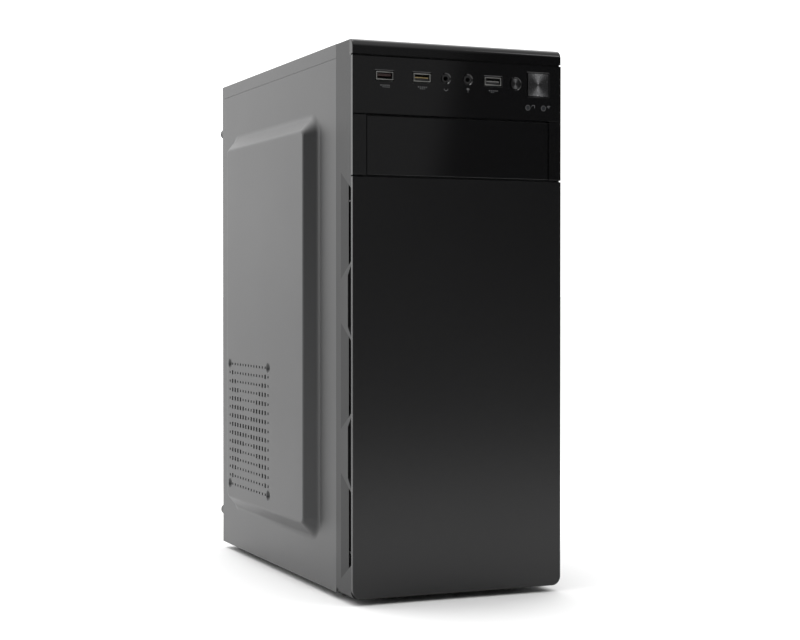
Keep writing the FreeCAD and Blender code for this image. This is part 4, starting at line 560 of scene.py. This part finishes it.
CAD_FINISH = {
    "panel": ("left_side_panel", "right_side_panel", "top_cover"),
    "bezel": ("front_bezel",),
    "gloss": ("upper_fascia", "bay_cover"),
    "satin": ("lower_fascia",),
    "power": ("power_button",),
    "reset": ("reset_button",),
    "inner": ("base_pan", "front_plate", "rear_plate", "slot_rail", "motherboard_tray",
              "optical_drive_cage", "hard_drive_cage"),
    "zinc": ("expansion_slot_covers",),
    "supply": ("power_supply_case", "power_supply_cover"),
    "port_shell": ("front_usb_ports",),
    "shield": ("io_shield",),
    "tin": ("rear_port_block", "cpu_socket", "cpu", "coin_cell"),
    "screw": ("case_screws", "motherboard_standoffs", "motherboard_screws", "power_supply_fan_guard"),
    "black_screw": ("rear_fan_screws", "left_lower_thumbscrew", "left_upper_thumbscrew",
                    "right_lower_thumbscrew", "right_upper_thumbscrew"),
    "board": ("motherboard", "memory_modules"),
    "small_board": ("front_io_board", "power_supply_board"),
    "socket": ("front_audio_jacks", "front_switches", "board_sockets", "mains_inlet", "power_rocker"),
    "slot": ("memory_slots", "expansion_sockets"),
    "heat_sink": ("cpu_heatsink", "chipset_heatsink", "regulator_parts"),
    "fan": ("cpu_fan_frame", "cpu_fan_rotor", "rear_fan_frame", "rear_fan_rotor",
            "power_supply_fan_frame", "power_supply_fan_rotor"),
    "cable": ("power_supply_harness", "sata_data_cable", "front_panel_cable"),
    "drive": ("hard_drive",),
    "rubber": ("feet",),
    "lens": ("indicator_leds",),
}

FINISHES = {}


def dress(obj, name):
    """Gives an object one finish."""
    if not FINISHES:
        FINISHES.update(make_finishes())
    obj.data.materials.clear()
    obj.data.materials.append(FINISHES[name])


# ---- Modelling helpers ----
def clear_selection():
    if bpy.context.object and bpy.context.object.mode != "OBJECT":
        bpy.ops.object.mode_set(mode="OBJECT")
    bpy.ops.object.select_all(action="DESELECT")


def settle(obj, name):
    """Names a piece, applies its place to its mesh and turns its faces outwards."""
    clear_selection()
    obj.name = name
    obj.data.name = name
    obj.select_set(True)
    bpy.context.view_layer.objects.active = obj
    bpy.ops.object.transform_apply(location=True, rotation=True, scale=True)
    bpy.ops.object.mode_set(mode="EDIT")
    bpy.ops.mesh.select_all(action="SELECT")
    bpy.ops.mesh.remove_doubles(threshold=1e-7)
    bpy.ops.mesh.normals_make_consistent(inside=False)
    bpy.ops.object.mode_set(mode="OBJECT")
    return obj


def bevelled_block(name, low, high, width=0.0002, segments=2):
    """A block between two corners with its edges rounded."""
    clear_selection()
    centre = [(a + b) / 2 for a, b in zip(low, high)]
    bpy.ops.mesh.primitive_cube_add(size=1.0, location=centre)
    obj = bpy.context.object
    obj.scale = [abs(b - a) for a, b in zip(low, high)]
    bpy.ops.object.transform_apply(location=False, rotation=False, scale=True)
    bpy.ops.object.mode_set(mode="EDIT")
    bpy.ops.mesh.select_all(action="SELECT")
    bpy.ops.mesh.bevel(offset=width, segments=segments, affect="EDGES")
    bpy.ops.object.mode_set(mode="OBJECT")
    return settle(obj, name)


def twin(piece, name, step):
    """A copy of a piece with its own mesh, moved by a step."""
    copy = piece.copy()
    copy.data = piece.data.copy()
    copy.location = step
    bpy.context.collection.objects.link(copy)
    return settle(copy, name)


def repeat(name, piece, steps):
    """One object of a piece and its copies, one for each step away from it."""
    return join(name, [piece] + [twin(piece, name, step) for step in steps])


def join(name, pieces):
    """Joins pieces into one object."""
    clear_selection()
    for piece in pieces:
        piece.select_set(True)
    bpy.context.view_layer.objects.active = pieces[0]
    bpy.ops.object.join()
    pieces[0].name = name
    pieces[0].data.name = name
    return pieces[0]


# ---- Stage ----
def aim(place_at, yaw, pitch):
    """The camera's matrix for a yaw to the right of +Y and a pitch above the horizon."""
    ahead = Vector((math.sin(yaw) * math.cos(pitch), math.cos(yaw) * math.cos(pitch), math.sin(pitch)))
    turn = ahead.to_track_quat("-Z", "Y")
    return Matrix.Translation(Vector(place_at)) @ turn.to_matrix().to_4x4()


def add_light(name, place_at, target, size, power):
    """A square soft light that looks at a point."""
    lamp = bpy.data.lights.new(name, "AREA")
    lamp.shape = "RECTANGLE"
    lamp.size = size
    lamp.size_y = size
    lamp.energy = power
    obj = bpy.data.objects.new(name, lamp)
    bpy.context.collection.objects.link(obj)
    turn = (Vector(target) - Vector(place_at)).to_track_quat("-Z", "Y")
    obj.matrix_world = Matrix.Translation(Vector(place_at)) @ turn.to_matrix().to_4x4()


class TOWER_OT_stage(bpy.types.Operator):
    """Adds the pale floor, the lights and the camera"""
    bl_idname = "tower.stage"
    bl_label = "Stage"

    def execute(self, context):
        s = context.scene.tower_stage
        clear_selection()
        bpy.ops.mesh.primitive_plane_add(size=400.0, location=(0.0, 0.0, 0.0))
        floor = settle(context.object, "floor")
        mat, tree, bsdf = shader("Pale floor", Roughness=0.85)
        node = add_group(tree, "Coat Grain", place(tree), Color=tuple(s.floor_colour), Roughness=0.85,
                         Grain_Scale=500.0, Smear=0.02)
        flat = mixed(tree, 0.06, tuple(s.floor_colour), node.outputs["Color"])
        # Painted shade on the floor: from floor_fade ahead of the tower its colour darkens to a fifth further
        # out, seen in reflections and bounced light, while camera rays see the plain floor.
        painted_floor_shade = sweep(tree, split(tree, place(tree))["Y"], -s.floor_fade - 1.4, -s.floor_fade, 0.2, 1.0)
        ways = tree.nodes.new("ShaderNodeLightPath")
        painted_floor_shade = math_node(tree, "MAXIMUM", painted_floor_shade, ways.outputs["Is Camera Ray"])
        tree.links.new(scaled(tree, flat, painted_floor_shade), bsdf.inputs["Base Color"])
        floor.data.materials.append(mat)

        world = bpy.data.worlds.new("Studio")
        context.scene.world = world
        world.use_nodes = True
        tree = world.node_tree
        back = tree.nodes["Background"]
        coords = tree.nodes.new("ShaderNodeTexCoord")
        parts = split(tree, coords.outputs["Generated"])
        rear = sweep(tree, parts["Y"], s.rear_start, s.rear_start + 0.5, 0.0, s.rear_level)
        above = sweep(tree, parts["Z"], 0.3, 0.85, 0.0, s.top_level)
        edge = math_node(tree, "MULTIPLY_ADD", parts["Y"], math.tan(s.panel_edge), parts["X"])
        edge = math_node(tree, "MULTIPLY_ADD", parts["Z"], -0.2, edge)
        side = sweep(tree, edge, -0.012, 0.012, s.side_level, s.front_level)
        total = math_node(tree, "ADD", math_node(tree, "ADD", rear, above), side)
        ways = tree.nodes.new("ShaderNodeLightPath")
        missing = math_node(tree, "SUBTRACT", s.rear_level, total)
        total = math_node(tree, "MULTIPLY_ADD", missing, ways.outputs["Is Camera Ray"], total)
        tree.links.new(total, back.inputs["Strength"])
        back.inputs["Color"].default_value = (1.0, 1.0, 1.0, 1.0)

        add_light("Overhead", (-0.3, 0.1, 2.1), (0.0, 0.0, 0.2), 1.3, 14.0)
        add_light("Front fill", (1.6, -1.8, 1.9), (0.0, 0.0, 0.2), 0.8, 7.0)

        camera = bpy.data.cameras.new("Camera")
        camera.lens = s.lens
        camera.sensor_width = 36.0
        camera.sensor_fit = "HORIZONTAL"
        obj = bpy.data.objects.new("Camera", camera)
        context.collection.objects.link(obj)
        obj.matrix_world = aim(s.camera_place, s.camera_yaw, s.camera_pitch)
        context.scene.camera = obj
        context.scene.view_settings.view_transform = "Standard"
        return {"FINISHED"}


class TOWER_OT_finishes(bpy.types.Operator):
    """Gives every structural piece its finish"""
    bl_idname = "tower.finishes"
    bl_label = "Finishes"

    def execute(self, context):
        for name, nodes in CAD_FINISH.items():
            for node in nodes:
                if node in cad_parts:
                    dress(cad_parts[node], name)
        left = [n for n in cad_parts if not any(n in nodes for nodes in CAD_FINISH.values())]
        if left:
            raise RuntimeError(f"no finish for {left}")
        return {"FINISHED"}


# ---- Small parts ----
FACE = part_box("lower_fascia")[0][1]
PORTS_X = (-0.0605, -0.0305, 0.028)
PORT_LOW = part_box("front_usb_ports")[0][2] + 0.6 * MM
JACKS_X = (-0.0112, 0.0069)
LIGHTS_X = (0.0573, 0.0707)
LIGHTS_Z = 0.3718
JACK_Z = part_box("front_audio_jacks")[0][2] + 3.25 * MM
FOOT_INSET = 0.014                       # from a foot's outer corner to its screw
BOARD_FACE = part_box("motherboard")[0][0]
REAR_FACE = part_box("rear_port_block")[1][1]


def arc_mark(name, centre, radius, width, start=0.0, sweep_angle=math.tau, depth=0.00005, axis="Y"):
    """A flat ring or arc on a face, spun from one small cross-section."""
    clear_selection()
    steps = max(6, int(32 * abs(sweep_angle) / math.tau))
    x, y, z = centre
    out, up = radius * math.cos(start), radius * math.sin(start)
    if axis == "Y":
        bpy.ops.mesh.primitive_plane_add(size=1.0, location=(x + out, y, z + up), rotation=(0, -start, 0))
        bpy.context.object.scale = (width, depth, 1.0)
    else:
        bpy.ops.mesh.primitive_plane_add(size=1.0, location=(x, y + out, z + up), rotation=(start, 0, 0))
        bpy.context.object.scale = (depth, width, 1.0)
    obj = bpy.context.object
    bpy.ops.object.transform_apply(location=True, rotation=True, scale=True)
    bpy.ops.object.mode_set(mode="EDIT")
    bpy.ops.mesh.select_all(action="SELECT")
    bpy.ops.mesh.spin(steps=steps, angle=-sweep_angle if axis == "Y" else sweep_angle, center=centre,
                      axis=(0, 1, 0) if axis == "Y" else (1, 0, 0))
    bpy.ops.mesh.select_all(action="SELECT")
    bpy.ops.mesh.remove_doubles(threshold=1e-6)
    bpy.ops.mesh.select_all(action="SELECT")
    bpy.ops.mesh.fill_holes(sides=4)
    bpy.ops.object.mode_set(mode="OBJECT")
    return settle(obj, name)


def stroke(name, centre, width, height, depth):
    """A short straight printed line on a face that looks along -Y."""
    half = (width / 2, depth / 2, height / 2)
    return bevelled_block(name, [c - h for c, h in zip(centre, half)], [c + h for c, h in zip(centre, half)],
                          depth / 4, 1)


class TOWER_OT_front_marks(bpy.types.Operator):
    """Prints plain symbols beside the jacks, ports and lights"""
    bl_idname = "tower.front_marks"
    bl_label = "Front Marks"

    def execute(self, context):
        d = detail()
        y = FACE + 0.00001
        line, deep = d.mark_line, d.mark_depth
        for k, x in enumerate(PORTS_X):
            tall = stroke("tall", (x - 0.0032, y, PORT_LOW - 0.0047), 0.0007, 0.0008, deep)
            tall = repeat("tall", tall, [(i * 0.0016, 0.0, 0.0) for i in range(1, 5)])
            low = stroke("low", (x - 0.0016, y, PORT_LOW - 0.0060), 0.0007, 0.0006, deep)
            low = repeat("low", low, [(i * 0.0016, 0.0, 0.0) for i in range(1, 4 - k)])
            marks = join(f"port_mark_{k + 1}", [tall, low])
            dress(marks, "print")
            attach(marks, "front")
        x, z = JACKS_X[0], JACK_Z - 0.0078
        phones = join("headphone_mark", [
            arc_mark("arc", (x, y, z), 0.0014, line * 0.8, 0.0, math.pi, deep),
            stroke("cup", (x - 0.0014, y, z - 0.0004), 0.0006, 0.0011, deep),
            stroke("cup", (x + 0.0014, y, z - 0.0004), 0.0006, 0.0011, deep)])
        x = JACKS_X[1]
        voice = join("microphone_mark", [
            arc_mark("cup", (x, y, z + 0.0002), 0.0012, line * 0.7, math.pi, math.pi, deep),
            stroke("body", (x, y, z + 0.0006), 0.0009, 0.0018, deep),
            stroke("stand", (x, y, z - 0.0014), line * 0.7, 0.0009, deep)])
        lights = []
        for k, x in enumerate(LIGHTS_X):
            z = LIGHTS_Z
            halo = arc_mark("halo", (x, y, z), 0.0019, line * 0.6, 0.0, math.tau, deep)
            shape = arc_mark("bowl", (x + 0.0046, y, z + 0.0006), 0.0014, line * 0.7, math.pi, math.pi * 0.8,
                             deep)
            post = stroke("post", (x + 0.0058, y, z + 0.0010), line * 0.7, 0.0022, deep) if k == 0 else \
                stroke("spindle", (x + 0.0046, y, z + 0.0008), 0.0006, 0.0010, deep)
            lights.append(join(f"light_mark_{k + 1}", [shape, post, halo]))
        for piece in [phones, voice] + lights:
            dress(piece, "print")
            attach(piece, "front")
        return {"FINISHED"}


def usb_insert(name, x, y_mouth, y_back, z_low, z_high, tongue, contacts, upper=True):
    """A socket's back wall, its tongue and four contacts."""
    wide = 0.0054
    back = bevelled_block(f"{name}_back", (x - wide - 0.0006, y_back - 0.0015, z_low + 0.0001),
                          (x + wide + 0.0006, y_back - 0.0001, z_high - 0.0001), 0.0001, 1)
    z0 = z_high - 0.0024 if upper else z_low + 0.0006
    thick = detail().tongue_depth
    blade = bevelled_block(f"{name}_tongue", (x - wide, y_mouth + 0.0012, z0),
                           (x + wide, y_back - 0.001, z0 + thick), 0.0002, 2)
    dress(back, "chip")
    dress(blade, tongue)
    face = z0 if upper else z0 + thick
    pad = bevelled_block("pad", (x - 0.0041, y_mouth + 0.002, face - 0.0001),
                         (x - 0.0031, y_back - 0.002, face + 0.0001), 0.00004, 1)
    pads = repeat("pads", pad, [(i * 0.0024, 0.0, 0.0) for i in range(1, 4)])
    strip = bevelled_block("strip", (x - wide, y_mouth + 0.0006, face - 0.0002),
                           (x + wide, y_mouth + 0.0013, face + 0.0004), 0.0001, 1)
    pads = join(f"{name}_contacts", [pads, strip])
    dress(pads, contacts)
    for piece in (back, blade, pads):
        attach(piece, "chassis")


class TOWER_OT_socket_inserts(bpy.types.Operator):
    """Adds tongues, contacts and coloured rings to the sockets"""
    bl_idname = "tower.socket_inserts"
    bl_label = "Socket Inserts"

    def execute(self, context):
        for k, x in enumerate(PORTS_X):
            usb_insert(f"front_usb_{k + 1}", x, FACE + 0.0006, FACE + 0.012, PORT_LOW, PORT_LOW + 0.0048,
                       "brown_insert" if k == 0 else "chip", ("brown_insert", "contact", "tin")[k],
                       upper=k == 0)
        for k, x in enumerate(JACKS_X):
            ring = arc_mark(f"front_jack_ring_{k + 1}", (x, FACE + 0.0009, JACK_Z), 0.0024, 0.0011,
                            depth=0.0004)
            dress(ring, "dark_nickel")
            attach(ring, "chassis")
        y = REAR_FACE
        for name, z, lows, half in (("a", 0.28525, (1.2, 8.8), 6.3), ("b", 0.24325, (1.2, 8.8), 6.3),
                                    ("c", 0.22225, (1.2, 8.6), 5.9)):
            x0 = BOARD_FACE - (lows[0] + 5.3) * MM
            blade = bevelled_block(f"rear_usb_{name}1_tongue",
                                   (x0 + 0.0028, y - 0.0098, z - half * MM + 0.001),
                                   (x0 + 0.0046, y - 0.0012, z + half * MM - 0.001), 0.0002, 2)
            back = bevelled_block(f"rear_usb_{name}1_back", (x0, y - 0.0099, z - half * MM),
                                  (x0 + 0.0052, y - 0.0090, z + half * MM), 0.0001, 1)
            step = ((lows[0] - lows[1]) * MM, 0.0, 0.0)
            for piece in (blade, twin(blade, f"rear_usb_{name}2_tongue", step)):
                dress(piece, "blue_insert" if name == "b" else "chip")
                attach(piece, "chassis")
            for piece in (back, twin(back, f"rear_usb_{name}2_back", step)):
                dress(piece, "chip")
                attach(piece, "chassis")
        for k, (z, tone) in enumerate(((0.205, "blue_insert"), (0.1925, "green_ring"), (0.18, "pink_ring"))):
            ring = arc_mark(f"sound_ring_{k + 1}", (BOARD_FACE - 0.0065, y + 0.0001, z), 0.0030, 0.0019,
                            depth=0.0005)
            dress(ring, tone)
            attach(ring, "chassis")
        round_socket = arc_mark("keyboard_ring", (BOARD_FACE - 0.0065, y + 0.0001, 0.304), 0.0052, 0.0007,
                                depth=0.0005)
        dress(round_socket, "tin")
        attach(round_socket, "chassis")
        key = bevelled_block("keyboard_key", (BOARD_FACE - 0.0076, y - 0.0088, 0.3026),
                             (BOARD_FACE - 0.0054, y - 0.0014, 0.3040), 0.0002, 2)
        core = bevelled_block("display_core", (BOARD_FACE - 0.0060, y - 0.0088, 0.2575),
                              (BOARD_FACE - 0.0018, y - 0.0012, 0.2705), 0.0004, 2)
        latch = bevelled_block("network_comb", (BOARD_FACE - 0.0256, y - 0.0118, 0.2172),
                               (BOARD_FACE - 0.0215, y - 0.0040, 0.2273), 0.0002, 1)
        for piece, tone in ((key, "chip"), (core, "blue_insert"), (latch, "chip")):
            dress(piece, tone)
            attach(piece, "chassis")
        return {"FINISHED"}


class TOWER_OT_inlet_pins(bpy.types.Operator):
    """Adds the mains inlet's three pins and the line on the rocker"""
    bl_idname = "tower.inlet_pins"
    bl_label = "Inlet Pins"

    def execute(self, context):
        x, z = 0.046, 0.388
        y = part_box("mains_inlet")[1][1]
        half = detail().pin_width / 2
        pin = bevelled_block("pin", (x - 0.001, y - 0.0170, z + 0.002 - half),
                             (x + 0.001, y - 0.0035, z + 0.002 + half), 0.0004, 3)
        pins = repeat("inlet_pins", pin, [(-0.007, 0.0, -0.004), (0.007, 0.0, -0.004)])
        dress(pins, "tin")
        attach(pins, "chassis")
        x, _, z = box_centre("power_rocker")
        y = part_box("power_rocker")[1][1]
        on = bevelled_block("rocker_line", (x + 0.0045, y - 0.0022, z - 0.0022),
                            (x + 0.0051, y - 0.0016, z + 0.0022), 0.0001, 1)
        dress(on, "label")
        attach(on, "rocker")
        return {"FINISHED"}


class TOWER_OT_hub_labels(bpy.types.Operator):
    """Puts a blank round label on each fan's hub, and on the motor plates of the rear and supply fans"""
    bl_idname = "tower.hub_labels"
    bl_label = "Hub Labels"

    def execute(self, context):
        for body, node, plate in (("rear_fan", "rear_fan_rotor", "rear_fan_frame"),
                                  ("supply_fan", "power_supply_fan_rotor", "power_supply_fan_frame")):
            centre = box_centre(node)
            radius = 0.0145 if body == "rear_fan" else 0.0120
            for name, y, rider in ((f"{body}_hub_label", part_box(node)[0][1] - 0.00002, body),
                                   (f"{body}_motor_label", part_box(plate)[1][1] + 0.00002, "chassis")):
                label = arc_mark(name, (centre[0], y, centre[2]), radius / 2 + 0.0002, radius - 0.0008,
                                 depth=0.0001)
                dress(label, "label")
                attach(label, rider)
        _, y, z = box_centre("cpu_fan_rotor")
        label = arc_mark("cpu_fan_hub_label", (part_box("cpu_fan_rotor")[0][0] - 0.00002, y, z),
                         0.0075, 0.0137, depth=0.0001, axis="X")
        dress(label, "label")
        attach(label, "cpu_fan")
        return {"FINISHED"}


# Each chip's centre and size along Y and Z.
CHIPS = ((0.1180, 0.1900, 0.010, 0.010), (0.1160, 0.2120, 0.007, 0.007),
         (0.0600, 0.1650, 0.012, 0.008), (-0.0380, 0.1080, 0.014, 0.014),
         (0.1120, 0.1080, 0.009, 0.009), (-0.0300, 0.2500, 0.006, 0.010),
         (0.0400, 0.1900, 0.008, 0.005), (0.0820, 0.1900, 0.006, 0.006))
SMALL_PARTS = 90


class TOWER_OT_board_parts(bpy.types.Operator):
    """Scatters the main board's chips and small components"""
    bl_idname = "tower.board_parts"
    bl_label = "Board Parts"

    def execute(self, context):
        rng = random.Random(11)
        face = BOARD_FACE
        for k, (y, z, dy, dz) in enumerate(CHIPS):
            chip = bevelled_block(f"chip_{k + 1}", (face - 0.0016, y - dy / 2, z - dz / 2),
                                  (face + 0.0001, y + dy / 2, z + dz / 2), 0.0002, 2)
            count = int(dy / 0.0013)
            pitch = dy / count
            first = y - (dy - pitch) / 2
            leg = bevelled_block("leg", (face - 0.0006, first - 0.0002, z - dz / 2 - 0.0011),
                                 (face + 0.0001, first + 0.0002, z - dz / 2), 0.00005, 1)
            steps = [(0.0, i * pitch, side * (dz + 0.0011)) for i in range(count) for side in (0, 1)]
            legs = repeat(f"chip_legs_{k + 1}", leg, steps[1:])
            dress(chip, "chip")
            dress(legs, "tin")
            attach(chip, "chassis")
            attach(legs, "chassis")
        masters, tiny = {}, []
        for _ in range(SMALL_PARTS):
            y, z = rng.uniform(-0.050, 0.110), rng.uniform(0.084, 0.316)
            long = rng.choice((0.0016, 0.0020, 0.0032))
            turn = rng.random() < 0.5
            dy, dz = (long, long * 0.5) if turn else (long * 0.5, long)
            if (dy, dz) not in masters:
                masters[dy, dz] = bevelled_block("part", (face - 0.0008, -dy / 2, -dz / 2),
                                                 (face + 0.0001, dy / 2, dz / 2), 0.0001, 1)
            tiny.append(twin(masters[dy, dz], "part", (0.0, y, z)))
        for master in masters.values():
            bpy.data.objects.remove(master)
        half = len(tiny) // 2
        for name, group_of, tone in (("small_capacitors", tiny[:half], "brown_insert"),
                                     ("small_resistors", tiny[half:], "chip")):
            piece = join(name, group_of)
            dress(piece, tone)
            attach(piece, "chassis")
        return {"FINISHED"}


class TOWER_OT_labels(bpy.types.Operator):
    """Puts blank labels on the power supply and the drive"""
    bl_idname = "tower.labels"
    bl_label = "Labels"

    def execute(self, context):
        low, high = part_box("power_supply_cover")
        paper = bevelled_block("supply_label", (low[0] - 0.00012, low[1] + 0.080, low[2] + 0.012),
                               (low[0] + 0.0001, high[1] - 0.012, high[2] - 0.014), 0.00005, 1)
        dress(paper, "ruled_label")
        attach(paper, "chassis")
        low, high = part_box("hard_drive")
        paper = bevelled_block("drive_label", (low[0] + 0.014, low[1] + 0.022, high[2] - 0.0001),
                               (high[0] - 0.014, high[1] - 0.040, high[2] + 0.00012), 0.00005, 1)
        dress(paper, "label")
        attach(paper, "chassis")
        return {"FINISHED"}


class TOWER_OT_foot_screws(bpy.types.Operator):
    """Adds the screw in the recess of each foot"""
    bl_idname = "tower.foot_screws"
    bl_label = "Foot Screws"

    def execute(self, context):
        low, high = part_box("feet")
        clear_selection()
        bpy.ops.mesh.primitive_cylinder_add(vertices=32, radius=0.0034, depth=0.0014,
                                            location=(low[0] + FOOT_INSET, low[1] + FOOT_INSET, 0.0018))
        obj = context.object
        bpy.ops.object.transform_apply(location=True, rotation=True, scale=True)
        bpy.ops.object.mode_set(mode="EDIT")
        bpy.ops.mesh.select_all(action="DESELECT")
        bpy.ops.mesh.select_mode(type="FACE")
        mesh = bmesh.from_edit_mesh(obj.data)
        for face in mesh.faces:
            face.select = face.normal.z < -0.9
        bmesh.update_edit_mesh(obj.data)
        bpy.ops.mesh.inset(thickness=0.0011)
        bpy.ops.mesh.inset(thickness=0.0001, depth=-0.0007)
        bpy.ops.object.mode_set(mode="OBJECT")
        screw = settle(obj, "foot_screw_1")
        across, along = high[0] - low[0] - 2 * FOOT_INSET, high[1] - low[1] - 2 * FOOT_INSET
        screws = [screw] + [twin(screw, f"foot_screw_{k}", step) for k, step in
                            ((2, (across, 0.0, 0.0)), (3, (0.0, along, 0.0)), (4, (across, along, 0.0)))]
        for screw in screws:
            dress(screw, "screw")
            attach(screw, "chassis")
        return {"FINISHED"}


OPERATORS = [TOWER_OT_stage, TOWER_OT_finishes, TOWER_OT_front_marks, TOWER_OT_socket_inserts,
             TOWER_OT_inlet_pins, TOWER_OT_hub_labels, TOWER_OT_board_parts, TOWER_OT_labels,
             TOWER_OT_foot_screws]


class TOWER_PT_panel(bpy.types.Panel):
    """Lists the tower's operators"""
    bl_idname = "TOWER_PT_panel"
    bl_label = "Desktop Tower"
    bl_space_type = "VIEW_3D"
    bl_region_type = "UI"
    bl_category = "Tower"

    def draw(self, context):
        for operator in OPERATORS:
            self.layout.operator(operator.bl_idname)


GROUP_TYPES = [("tower_finish", TowerFinish), ("tower_detail", TowerDetail), ("tower_stage", TowerStage)]


def register():
    for name, kind in GROUP_TYPES:
        bpy.utils.register_class(kind)
        setattr(bpy.types.Scene, name, bpy.props.PointerProperty(type=kind))
    for kind in OPERATORS + [TOWER_PT_panel]:
        bpy.utils.register_class(kind)


def unregister():
    for kind in reversed(OPERATORS + [TOWER_PT_panel]):
        bpy.utils.unregister_class(kind)
    for name, kind in reversed(GROUP_TYPES):
        delattr(bpy.types.Scene, name)
        bpy.utils.unregister_class(kind)


def main():
    register()
    for operator in OPERATORS:
        group_name, call = operator.bl_idname.split(".")
        getattr(getattr(bpy.ops, group_name), call)()


if __name__ == "__main__":
    main()
